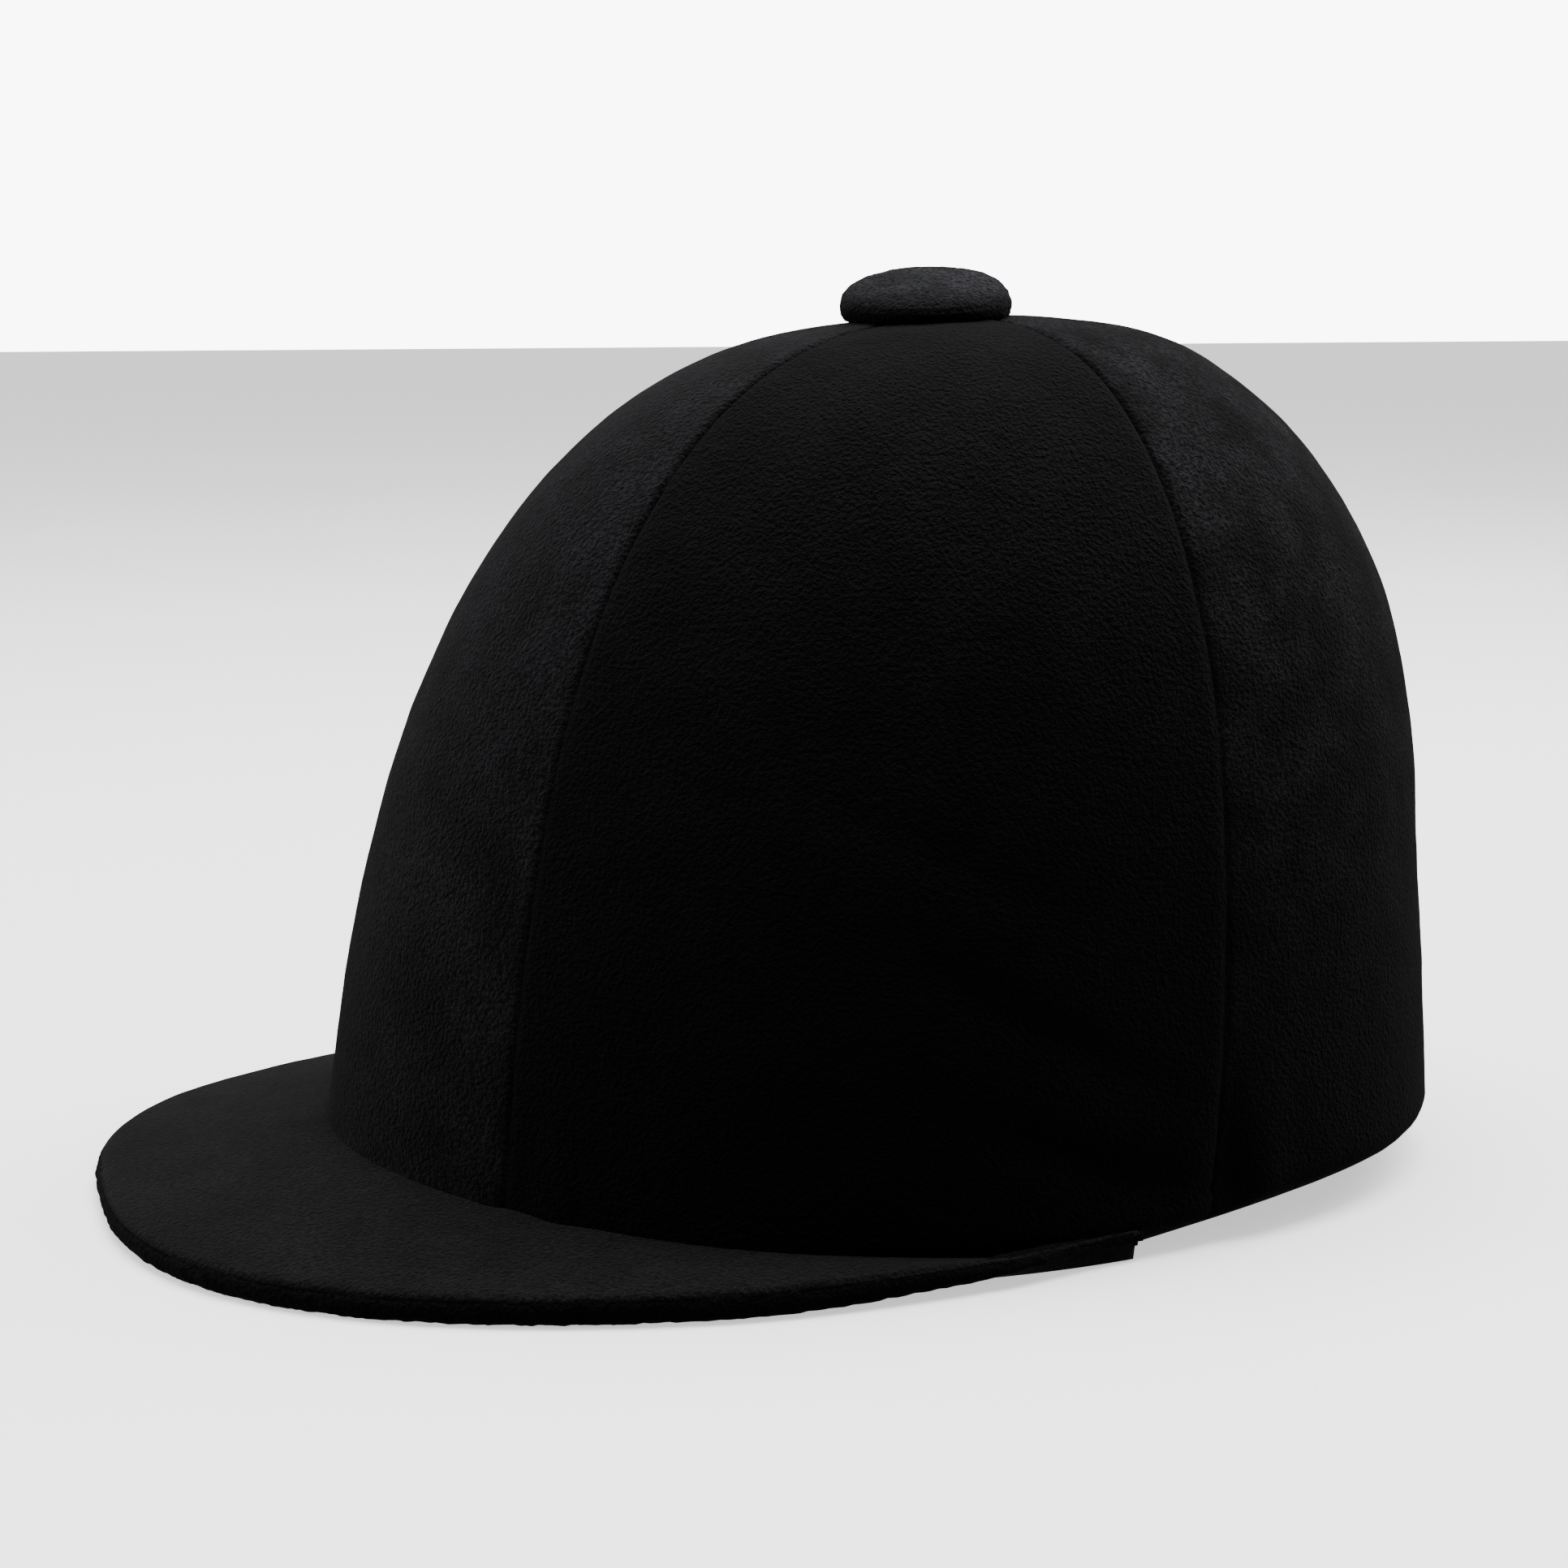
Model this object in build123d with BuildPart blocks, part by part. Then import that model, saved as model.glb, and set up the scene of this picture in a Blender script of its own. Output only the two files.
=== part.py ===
from build123d import *
import os
from math import acos, asin, cos, degrees, radians, sin

# Equestrian riding hat: a hard skull helmet with its harness tucked up inside, under a pull-on
# velvet cover that carries the soft peak and the covered button.
# Millimetres. +Z is up and -Y is the wearer's front. The hat stands on Z = 0 and its overall
# length is centred on Y = 0.

# ---- Overall shape of the crown -------------------------------------------------------------
crown_half_width = 105.7
crown_length_ratio = 1.2525      # crown length over crown width
crown_height = 202.7
shoulder = 2.78                  # exponent of height in the dome curve
fullness = 2.63                  # exponent of radius in the dome curve
rearward_lean = 0.118            # how far the dome moves back for each millimetre it rises

# ---- Layers, from the outside in ------------------------------------------------------------
velvet_thickness = 1.6
ply_gap = 0.1                    # between cloth layers of the cover
lining_thickness = 0.5
cover_clearance = 0.3            # between the cover and the hard shell
shell_thickness = 3.2
bond_gap = 0.2                   # between the layers inside the helmet
foam_side_thickness = 17.0
foam_crown_thickness = 26.0
crown_pad_thickness = 12.0
crown_pad_depth = 70.7           # from the top of the crown down to the pad's lower edge
headband_thickness = 3.6
headband_height = 52.0

# ---- Rim ------------------------------------------------------------------------------------
rim_round = 9.0                  # outside radius where the cover turns under the rim
hem_turn_width = 14.2            # how far the velvet runs in under the rim
underside_allowance = 0.5        # cut away to leave the hem's flat underside
casing_width = 5.5
casing_height = 4.4
casing_wall = 0.9
elastic_width = 3.2
elastic_height = 2.2
trim_width = 11.0
trim_lift = 0.8                  # gap between the trim and the velvet turned under it

# ---- Peak -----------------------------------------------------------------------------------
peak_projection = 50.8           # in front of the crown
peak_side_width = 12.8           # beside the crown
peak_squareness = 2.564          # exponent of the peak's outline
peak_thickness = 5.9
peak_front_lift = 2.1
peak_side_lift = 2.5
peak_root_height = 15.7          # top of the peak where it meets the front of the crown
peak_root_side_height = 6.2
peak_root_thickness = 6.3
peak_root_clearance = 0.5        # least height of the peak's root above the table
peak_gap = 0.3                   # between the peak and the crown panels
peak_top_ply = 1.5
peak_under_ply = 1.2
peak_ply_gap = 0.15
edge_roll_width = 5.0
peak_end_angle = 90.0

# ---- Button ---------------------------------------------------------------------------------
button_diameter = 41.0
button_height = 9.7
button_cloth = 1.6
button_round = 2.6
shank_height = 4.85              # how far the shank reaches into the button
button_forward = 8.5             # in front of the top of the dome
button_tilt = 8.2
shank_radius = 3.0
shank_clearance = 0.3

# ---- Seams of the cover, as angles from the front towards the wearer's left ------------------
front_seam_angle = 37.0
rear_seam_angle = 110.5
rear_half_angle = 180.0 - rear_seam_angle

# ---- Harness --------------------------------------------------------------------------------
strap_width = 18.0
strap_thickness = 1.4
strap_clearance = 0.8
strap_turn_clearance = 0.7       # between a strap and the headband
strap_start_clearance = 0.3      # more room for the strap behind the curved shell
strap_inner_run = 21.8           # height at which a strap leaves the headband
strap_slot_margin = 2.0          # each side of a strap in a slot or channel
front_strap_angle = 52.0
rear_strap_angle = 128.0
strap_top = 38.0
strap_exit_height = 6.4
strap_lean_play = 1.0            # room for the strap's lean under its washer
rivet_height = 29.0
rivet_recess = 0.6
rivet_head_radius = 5.0
rivet_head_thickness = 1.4
rivet_shank_radius = 2.0
rivet_hole_clearance = 0.15
rivet_tail_radius = 3.4
rivet_tail_thickness = 1.0
washer_radius = 6.5
washer_thickness = 1.0
pocket_depth = 8.0
divider_drop = 56.0              # below the level run of the chin strap
divider_thickness = 5.0
divider_length = 40.0
divider_depth = 17.0
divider_round = 5.0
divider_wall_gap = 0.6           # clear of the headband's inner face
nape_strap_width = 12.0
nape_strap_bottom = 8.0
nape_strap_setback = 3.0         # degrees behind each rear strap
chin_strap_setback = 13.4        # plane of the chin strap, behind the crown's centre
chin_run_drop = 24.6             # level run of the chin strap, below the crown pad
chin_run_end = 41.0              # where the chin strap leaves its level run
chin_strap_rise = 14.0           # first run of the chin strap above the divider
chin_strap_lean = 3.0            # how far that run leans inwards
chin_bend_inset = 15.0           # from the divider in to the strap's bend
chin_bend_drop = 16.0            # from the level run down to that bend

# ---- Buckle and slider ----------------------------------------------------------------------
buckle_width = 25.0
buckle_thickness = 9.0
buckle_wall = 1.9
female_length = 25.0
female_end = 12.0                # mouth of the female half
male_base_length = 11.0
buckle_fit = 0.35
prong_length = 16.0
prong_width = 4.2
guide_width = 3.0
guide_length = 11.2
bar_slot = 3.15                  # slot that the webbing passes through, along the buckle
bar_length = 3.0
slider_length = 11.0
slider_start = -28.5
slider_wall = 1.8
buckle_gap = 0.3
buckle_round = 2.0
cavity_depth = 20.0
window_from_mouth = 9.0
window_length = 8.0
window_height = 4.2

# ---- Values worked out from the sizes above --------------------------------------------------
velvet_inside = velvet_thickness
lining_outside = velvet_inside + ply_gap
lining_inside = lining_outside + lining_thickness
shell_outside = lining_inside + cover_clearance
shell_inside = shell_outside + shell_thickness
foam_outside = shell_inside + bond_gap
foam_inside = foam_outside + foam_side_thickness
foam_inside_top = foam_outside + foam_crown_thickness
band_outside = foam_inside + bond_gap
band_inside = band_outside + headband_thickness
pad_outside_top = foam_inside_top + bond_gap
pad_inside_top = pad_outside_top + crown_pad_thickness
crown_pad_bottom = crown_height - crown_pad_depth
chin_run_height = crown_height - pad_inside_top - chin_run_drop
divider_height = chin_run_height - divider_drop


def dome_radius(half_width, height, z):
    """Radius of a dome at a height, before it is stretched to the hat's length."""
    return half_width * (1 - (z / height) ** shoulder) ** (1 / fullness)


# The crown's rear reach decides where the middle of the overall length falls.
crown_rear_reach = max(
    rearward_lean * z + crown_length_ratio * dome_radius(crown_half_width, crown_height, z)
    for z in range(0, int(crown_height))
)
crown_front_reach = crown_length_ratio * crown_half_width
crown_centre_y = (crown_front_reach + peak_projection - crown_rear_reach) / 2
chin_strap_y = crown_centre_y + chin_strap_setback

hat_matrix = Matrix(
    [
        [1, 0, 0, 0],
        [0, crown_length_ratio, rearward_lean, crown_centre_y],
        [0, 0, 1, 0],
    ]
)


def hat_shape(round_part):
    """Stretch a round part to the hat's length and lean it back, about the crown's centre."""
    return Part() + [solid.transform_geometry(hat_matrix) for solid in round_part.solids()]


def dome_slope(half_width, height, z):
    """Direction of the dome curve at a height, as (radius, height)."""
    step = height / 1000
    return (dome_radius(half_width, height, z + step) - dome_radius(half_width, height, z), step)


def radial_plane(angle):
    """Vertical plane through the axis of the dome, at an angle from the front to the left."""
    out = Vector(sin(radians(angle)), -cos(radians(angle)), 0)
    return Plane(origin=(0, 0, 0), x_dir=out, z_dir=out.cross(Vector(0, 0, 1)))


def dome_points(half_width, height, bottom, bore, count=9):
    """Points of the dome curve from its bottom height up to the bore at its top."""
    first = asin((bottom / height) ** (shoulder / 2))
    last = acos((bore / half_width) ** (fullness / 2))
    turns = [first + (last - first) * i / (count - 1) for i in range(count)]
    return [
        (round(half_width * cos(a) ** (2 / fullness), 6), height * sin(a) ** (2 / shoulder))
        for a in turns
    ]


def turn_round(section, start=0.0, arc=360.0):
    """Turn a (radius, height) section about the upright axis, half a turn at a time at most."""
    steps = 2 if arc == 360.0 else 1
    with BuildPart() as turned:
        for step in range(steps):
            with BuildSketch(radial_plane(start + step * arc / steps)):
                add(section)
            revolve(axis=Axis.Z, revolution_arc=arc / steps)
    return hat_shape(turned.part)


def dome_layer(outside, inside, outside_top, inside_top, bottom, bore=0.0, start=0.0, arc=360.0):
    """A dome-shaped layer between two depths below the crown's outer surface."""
    outer = dome_points(crown_half_width - outside, crown_height - outside_top, bottom, bore)
    inner = dome_points(crown_half_width - inside, crown_height - inside_top, bottom, bore)
    with BuildSketch() as section:
        with BuildLine():
            Spline(
                *outer,
                tangents=[
                    dome_slope(crown_half_width - outside, crown_height - outside_top, bottom), (-1, 0)
                ],
            )
            Spline(
                *inner,
                tangents=[
                    dome_slope(crown_half_width - inside, crown_height - inside_top, bottom), (-1, 0)
                ],
            )
            Line(outer[0], inner[0])
            Line(outer[-1], inner[-1])
        make_face()
    return turn_round(section.sketch, start, arc)


def band_layer(outside, inside, bottom, top, start=0.0, arc=360.0):
    """A band against the foam's inner wall, between two depths and two heights."""
    heights = [bottom, (bottom + top) / 2, top]
    walls = [
        dome_radius(crown_half_width - foam_inside, crown_height - foam_inside_top, z) for z in heights
    ]
    outer = [(wall - (outside - foam_inside), z) for wall, z in zip(walls, heights)]
    inner = [(wall - (inside - foam_inside), z) for wall, z in zip(walls, heights)]
    with BuildSketch() as section:
        with BuildLine():
            Polyline(*outer, *reversed(inner), close=True)
        make_face()
    return turn_round(section.sketch, start, arc)


def wall_point(depth, angle, z):
    """Point on the wall surface that lies a given depth inside the crown's outer surface."""
    radius = dome_radius(crown_half_width - depth, crown_height - depth, z)
    return Vector(
        radius * sin(radians(angle)),
        crown_centre_y + rearward_lean * z - crown_length_ratio * radius * cos(radians(angle)),
        z,
    )


def wall_normal(angle):
    """Level direction that points straight out of the wall."""
    return Vector(crown_length_ratio * sin(radians(angle)), -cos(radians(angle)), 0).normalized()


def wall_plane(angle):
    """Vertical plane square to the wall: X runs outwards from the shell's inner face at Z = 0."""
    out = wall_normal(angle)
    return Plane(
        origin=wall_point(shell_inside, angle, 0), x_dir=out, z_dir=out.cross(Vector(0, 0, 1))
    )


def wall_distance(depth, angle, z):
    """Distance outwards from the shell's inner face at Z = 0 to a wall surface at a height."""
    return (wall_point(depth, angle, z) - wall_point(shell_inside, angle, 0)).dot(wall_normal(angle))


def finish(builder, name):
    """Name a finished piece and write it."""
    builder.part.label = name
    export_step(builder.part, "parts/" + name + ".step")


strap_angles = {
    "left_front": front_strap_angle,
    "left_rear": rear_strap_angle,
    "right_rear": -rear_strap_angle,
    "right_front": -front_strap_angle,
}

os.makedirs("parts", exist_ok=True)

# ==== Cover ==================================================================================
# Five velvet panels meet round the shank of the button.
panel_angles = {
    "cover_front_panel": (-front_seam_angle, 2 * front_seam_angle),
    "cover_left_panel": (front_seam_angle, rear_seam_angle - front_seam_angle),
    "cover_rear_left_panel": (rear_seam_angle, rear_half_angle),
    "cover_rear_right_panel": (180.0, rear_half_angle),
    "cover_right_panel": (-rear_seam_angle, rear_seam_angle - front_seam_angle),
}
panel_bore = shank_radius + shank_clearance
for panel_name, (panel_start, panel_arc) in panel_angles.items():
    with BuildPart() as cover_panel:
        add(
            dome_layer(
                0, velvet_inside, 0, velvet_inside, rim_round, panel_bore, panel_start, panel_arc
            )
        )
    finish(cover_panel, panel_name)

with BuildPart() as cover_lining:
    add(
        dome_layer(
            lining_outside, lining_inside, lining_outside, lining_inside, rim_round, panel_bore
        )
    )
finish(cover_lining, "cover_lining")

# The velvet turns under the rim and ends in a casing that holds the elastic.
hem_centre = crown_half_width - rim_round
hem_inner_radius = rim_round - velvet_thickness
hem_end = crown_half_width - hem_turn_width
with BuildSketch() as hem_section:
    with BuildLine():
        CenterArc((hem_centre, rim_round), rim_round, 270, 90)
        Line((crown_half_width, rim_round), (crown_half_width - velvet_thickness, rim_round))
        CenterArc((hem_centre, rim_round), hem_inner_radius, 270, 90)
        Polyline(
            (hem_centre, velvet_thickness), (hem_end, velvet_thickness),
            (hem_end, -underside_allowance), (hem_centre, -underside_allowance), (hem_centre, 0),
        )
    make_face()
with BuildPart() as hem_fold:
    add(turn_round(hem_section.sketch))
    split(bisect_by=Plane.XY, keep=Keep.TOP)
finish(hem_fold, "hem_fold")

casing_middle = (hem_end - casing_width / 2, casing_height / 2)
with BuildSketch() as casing_section:
    with Locations(casing_middle):
        RectangleRounded(casing_width, casing_height, casing_wall)
        Rectangle(
            casing_width - 2 * casing_wall, casing_height - 2 * casing_wall, mode=Mode.SUBTRACT
        )
with BuildPart() as hem_casing:
    add(turn_round(casing_section.sketch))
finish(hem_casing, "hem_casing")

with BuildSketch() as elastic_section:
    with Locations(casing_middle):
        RectangleRounded(elastic_width, elastic_height, elastic_height / 4)
with BuildPart() as hem_elastic:
    add(turn_round(elastic_section.sketch))
finish(hem_elastic, "hem_elastic")

# ---- Peak: radial sections from the crown out to a squarish outline ---------------------------
peak_half_width = crown_half_width + peak_side_width
peak_reach = crown_front_reach + peak_projection
front_angles = (0, 18, 34, 47, 58, 68, 76, 83, peak_end_angle)
peak_angles = [-a for a in reversed(front_angles[1:])] + list(front_angles)


def signed_power(value, exponent):
    """Power of a number that keeps its sign."""
    return abs(value) ** exponent * (1 if value >= 0 else -1)


def peak_root(angle, z):
    """Point where the peak starts, just clear of the crown."""
    radius = crown_half_width + peak_gap
    return Vector(
        radius * sin(radians(angle)),
        crown_centre_y + rearward_lean * z - crown_length_ratio * radius * cos(radians(angle)),
        z,
    )


def peak_edge(angle):
    """Point on the outline of the peak, at its underside."""
    side, ahead = sin(radians(angle)), cos(radians(angle))
    return Vector(
        peak_half_width * signed_power(side, 2 / peak_squareness),
        crown_centre_y - peak_reach * signed_power(ahead, 2 / peak_squareness),
        peak_side_lift * side**6 + peak_front_lift * ahead**4,
    )


class PeakSection:
    """One upright section of the peak, from the crown out to its outline."""

    def __init__(self, angle):
        ahead = max(cos(radians(angle)), 0.0)
        self.angle = angle
        self.root_top = (
            peak_root_side_height + (peak_root_height - peak_root_side_height) * ahead**1.5
        )
        self.root_bottom = max(self.root_top - peak_root_thickness, peak_root_clearance)
        self.edge = peak_edge(angle)
        self.base = peak_root(angle, 0)
        out = Vector(self.edge.X - self.base.X, self.edge.Y - self.base.Y, 0)
        self.length = out.length
        self.out = out.normalized()
        self.plane = Plane(
            origin=self.base, x_dir=self.out, z_dir=self.out.cross(Vector(0, 0, 1))
        )

    def root(self, share):
        """Corner at the crown, at a share of the thickness from the underside."""
        z = self.root_bottom + (self.root_top - self.root_bottom) * share
        return ((peak_root(self.angle, z) - self.base).dot(self.out), z)

    def corner(self, share, distance):
        """Point at a distance from the crown, at a share of the thickness."""
        slope = distance / self.length
        root_z = self.root_bottom + (self.root_top - self.root_bottom) * share
        edge_z = self.edge.Z + peak_thickness * share
        return (distance, root_z + (edge_z - root_z) * slope)


def peak_layer(low, high):
    """One layer of the peak, between two shares of its thickness."""
    with BuildPart() as layer:
        for angle in peak_angles:
            cut = PeakSection(angle)
            reach = cut.length - edge_roll_width - peak_ply_gap
            with BuildSketch(cut.plane):
                with BuildLine():
                    Polyline(
                        cut.root(low), cut.root(high), cut.corner(high, reach),
                        cut.corner(low, reach), close=True,
                    )
                make_face()
        loft()
    return layer.part


gap_share = peak_ply_gap / peak_thickness
under_share = peak_under_ply / peak_thickness
top_share = 1 - peak_top_ply / peak_thickness
with BuildPart() as peak_under_lining:
    add(peak_layer(0, under_share))
finish(peak_under_lining, "peak_under_lining")
with BuildPart() as peak_stiffener:
    add(peak_layer(under_share + gap_share, top_share - gap_share))
finish(peak_stiffener, "peak_stiffener")
with BuildPart() as peak_top_velvet:
    add(peak_layer(top_share, 1))
finish(peak_top_velvet, "peak_top_velvet")

with BuildPart() as peak_edge_roll:
    for peak_angle in peak_angles:
        cut = PeakSection(peak_angle)
        inner = cut.length - edge_roll_width
        with BuildSketch(cut.plane):
            with BuildLine():
                ThreePointArc(
                    cut.corner(0, inner), (cut.length, cut.corner(0.5, cut.length)[1]),
                    cut.corner(1, inner),
                )
                Line(cut.corner(1, inner), cut.corner(0, inner))
            make_face()
    loft()
finish(peak_edge_roll, "peak_edge_roll")

# ---- Covered button ---------------------------------------------------------------------------
# The button stands on the flat top of the dome, and its own top slopes down to the front.
apex_y = crown_centre_y + rearward_lean * crown_height
button_y = apex_y - button_forward
button_seat = crown_height + ply_gap
button_radius = button_diameter / 2
core_radius = button_radius - button_cloth
shank_socket_radius = shank_radius + shank_clearance


def sloping_plane(height):
    """Plane parallel to the button's top, at a height above the dome in its middle."""
    tilt = radians(button_tilt)
    return Plane(
        origin=(0, button_y, crown_height + height), x_dir=(1, 0, 0), z_dir=(0, -sin(tilt), cos(tilt))
    )


def button_block(radius, height):
    """Upright round block from the seat up to the sloping plane at a height."""
    with BuildPart() as block:
        with BuildSketch(Plane((0, button_y, button_seat))):
            Circle(radius)
        extrude(amount=2 * button_height)
        split(bisect_by=sloping_plane(height), keep=Keep.BOTTOM)
    return block.part


core_height = button_height - button_cloth
with BuildPart() as button_velvet:
    add(button_block(button_radius, button_height))
    fillet(button_velvet.faces().sort_by(Axis.Z)[-1].edges(), button_round)
    add(button_block(core_radius + ply_gap, core_height + ply_gap), mode=Mode.SUBTRACT)
finish(button_velvet, "button_velvet")

with BuildPart() as button_core:
    add(button_block(core_radius, core_height))
    with BuildSketch(Plane((0, apex_y, button_seat))):
        Circle(shank_socket_radius)
    extrude(amount=shank_height, mode=Mode.SUBTRACT)
finish(button_core, "button_core")

# The shank runs from inside the cover, through the meeting point of the panels, into the core.
with BuildPart() as button_shank:
    with BuildSketch(Plane((0, apex_y, crown_height - lining_inside))):
        Circle(shank_radius)
    extrude(amount=lining_inside + shank_height - shank_clearance)
finish(button_shank, "button_shank")

# ==== Helmet =================================================================================
def wall_cut(angle, low_depth, high_depth, bottom, top):
    """Upright block for a strap's channel, between two depths inside the crown."""
    plane = wall_plane(angle)
    near = wall_distance(low_depth, angle, 0)
    far = wall_distance(high_depth, angle, 0)
    with BuildPart() as block:
        with BuildSketch(plane):
            with BuildLine():
                Polyline((near, bottom), (far, bottom), (far, top), (near, top), close=True)
            make_face()
        extrude(amount=strap_width / 2 + strap_slot_margin, both=True)
    return block.part


def rivet_plane(angle, depth):
    """Plane square to the wall at a rivet, a distance inside the shell's outer face."""
    out = wall_normal(angle)
    return Plane(origin=wall_point(shell_outside, angle, rivet_height) - out * depth, z_dir=-out)


with BuildPart() as shell:
    add(dome_layer(shell_outside, shell_inside, shell_outside, shell_inside, rim_round))
    for angle in strap_angles.values():
        with BuildSketch(rivet_plane(angle, -shell_thickness)):
            Circle(rivet_head_radius + rivet_hole_clearance)
        extrude(
            amount=shell_thickness + rivet_recess + rivet_head_thickness + rivet_hole_clearance,
            mode=Mode.SUBTRACT,
        )
        with BuildSketch(rivet_plane(angle, 0)):
            Circle(rivet_shank_radius + rivet_hole_clearance)
        extrude(amount=2 * shell_thickness, mode=Mode.SUBTRACT)
finish(shell, "shell")

# The strap lies behind the shell's inner face, then the washer, then the rivet's spread tail.
strap_depth = shell_thickness + strap_start_clearance + strap_clearance
washer_depth = strap_depth + strap_thickness + strap_lean_play
tail_depth = washer_depth + washer_thickness + bond_gap
with BuildPart() as rivets:
    for angle in strap_angles.values():
        with BuildSketch(rivet_plane(angle, rivet_recess)):
            Circle(rivet_head_radius)
        extrude(amount=rivet_head_thickness)
        with BuildSketch(rivet_plane(angle, rivet_recess)):
            Circle(rivet_shank_radius)
        extrude(amount=tail_depth - rivet_recess)
        with BuildSketch(rivet_plane(angle, tail_depth)):
            Circle(rivet_tail_radius)
        extrude(amount=rivet_tail_thickness)
finish(rivets, "rivets")

with BuildPart() as anchor_washers:
    for angle in strap_angles.values():
        with BuildSketch(rivet_plane(angle, washer_depth)):
            Circle(washer_radius)
            Circle(rivet_shank_radius + rivet_hole_clearance, mode=Mode.SUBTRACT)
        extrude(amount=washer_thickness)
finish(anchor_washers, "anchor_washers")

strap_slot_bottom = strap_exit_height - strap_thickness / 2 - strap_clearance
strap_slot_top = strap_exit_height + strap_thickness / 2 + strap_clearance
trim_radius = rim_round - velvet_thickness - trim_lift
trim_bottom = rim_round - trim_radius
trim_outer = hem_centre + trim_radius
trim_top = rim_round - bond_gap
trim_middle = trim_outer - trim_width / 2
with BuildSketch() as trim_section:
    with Locations((hem_centre, rim_round)):
        Circle(trim_radius)
    with Locations((trim_outer - trim_width, rim_round)):
        Rectangle(
            hem_centre - trim_outer + trim_width, trim_radius, align=(Align.MIN, Align.MAX)
        )
    with Locations((trim_middle, trim_top)):
        Rectangle(trim_width, trim_top - trim_bottom, align=(Align.CENTER, Align.MAX), mode=Mode.INTERSECT)
with BuildPart() as shell_edge_trim:
    add(turn_round(trim_section.sketch))
    for angle in strap_angles.values():
        add(
            wall_cut(angle, shell_outside, foam_inside, strap_slot_bottom, 2 * rim_round),
            mode=Mode.SUBTRACT,
        )
finish(shell_edge_trim, "shell_edge_trim")

with BuildPart() as shock_liner:
    add(dome_layer(foam_outside, foam_inside, foam_outside, foam_inside_top, rim_round))
    for angle in strap_angles.values():
        add(
            wall_cut(angle, shell_outside, shell_inside + pocket_depth, 0, strap_top + strap_clearance),
            mode=Mode.SUBTRACT,
        )
finish(shock_liner, "shock_liner")

with BuildPart() as crown_pad:
    add(dome_layer(band_outside, band_inside, pad_outside_top, pad_inside_top, crown_pad_bottom))
finish(crown_pad, "crown_pad")


with BuildPart() as headband:
    add(band_layer(band_outside, band_inside, 0, headband_height))
    for angle in strap_angles.values():
        add(
            wall_cut(
                angle, band_outside - headband_thickness, band_inside + headband_thickness,
                strap_slot_bottom, strap_slot_top,
            ),
            mode=Mode.SUBTRACT,
        )
finish(headband, "headband")

# ---- Harness: each strap runs from its rivet, down behind the foam, in under the rim, out through
# ---- a slot in the headband and up inside the hat to the divider above the ear ------------------
# A flat strap stands off the curved headband by the band's rise across half the strap's width.
strap_sagitta = (strap_width / 2) ** 2 / (2 * (crown_half_width - band_inside))
strap_turn_depth = band_inside + strap_sagitta + strap_turn_clearance + strap_thickness / 2


def strap_path(angle):
    """Middle line of a strap in the wall's plane, from its riveted end to its inside run."""
    start = -(strap_clearance + strap_thickness / 2)
    lean = wall_distance(shell_inside, angle, strap_top) / strap_top
    inside = wall_distance(strap_turn_depth, angle, 0)
    return [
        (start + lean * strap_top, strap_top),
        (start + lean * strap_exit_height, strap_exit_height),
        (inside + lean * strap_exit_height, strap_exit_height),
        (inside + lean * strap_inner_run, strap_inner_run),
    ]


divider_half = Vector(divider_thickness, divider_length, divider_depth) * 0.5
# The wall curves in towards the divider's rear end, so its place is measured there.
divider_reach = (chin_strap_setback + divider_half.Y) / crown_length_ratio
divider_wall = dome_radius(
    crown_half_width - band_inside, crown_height - band_inside, divider_height + divider_half.Z
)
divider_wall_x = (divider_wall**2 - divider_reach**2) ** 0.5
divider_x = divider_wall_x - divider_wall_gap - divider_half.X
divider_bottom = divider_height - divider_half.Z
divider_top = divider_height + divider_half.Z

for strap_name, angle in strap_angles.items():
    side = 1 if angle > 0 else -1
    ahead = -1 if abs(angle) < 90 else 1
    out = wall_normal(angle)
    along = Vector(-out.Y, out.X, 0) * side
    path = strap_path(angle)
    turn_point = wall_plane(angle).from_local_coords((path[-1][0], path[-1][1], 0))
    divider_point = Vector(
        side * divider_x, chin_strap_y + ahead * (strap_width / 2 + bond_gap), divider_bottom - bond_gap
    )
    with BuildPart() as strap:
        with BuildSketch(wall_plane(angle)):
            with BuildLine():
                Polyline(*path)
            trace(line_width=strap_thickness)
        extrude(amount=strap_width / 2, both=True)
        with BuildSketch(Plane(turn_point, x_dir=along, z_dir=(0, 0, 1))):
            Rectangle(strap_width, strap_thickness)
        with BuildSketch(Plane(divider_point, x_dir=(0, 1, 0), z_dir=(0, 0, 1))):
            Rectangle(strap_width, strap_thickness)
        loft()
        with BuildSketch(rivet_plane(angle, 0)):
            Circle(rivet_shank_radius + rivet_hole_clearance)
        extrude(amount=pocket_depth, mode=Mode.SUBTRACT)
    finish(strap, strap_name + "_strap")

for divider_name, side in (("left_strap_divider", 1), ("right_strap_divider", -1)):
    with BuildPart(Location((side * divider_x, chin_strap_y, divider_height))) as divider:
        Box(divider_thickness, divider_length, divider_depth)
        fillet(divider.edges().filter_by(Axis.X), divider_round)
    finish(divider, divider_name)

strap_half_angle = degrees(strap_width / 2 / (crown_half_width - band_inside))
nape_start = rear_strap_angle + strap_half_angle + nape_strap_setback
with BuildPart() as nape_strap:
    add(
        band_layer(
            strap_turn_depth - strap_thickness / 2, strap_turn_depth + strap_thickness / 2,
            nape_strap_bottom, nape_strap_bottom + nape_strap_width,
            nape_start, 2 * (180.0 - nape_start),
        )
    )
finish(nape_strap, "nape_strap")

# ---- Chin strap: from each divider up over the inside of the crown to the buckle ---------------
male_start = female_end + buckle_gap
male_end = male_start + male_base_length
female_start = female_end - female_length


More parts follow.
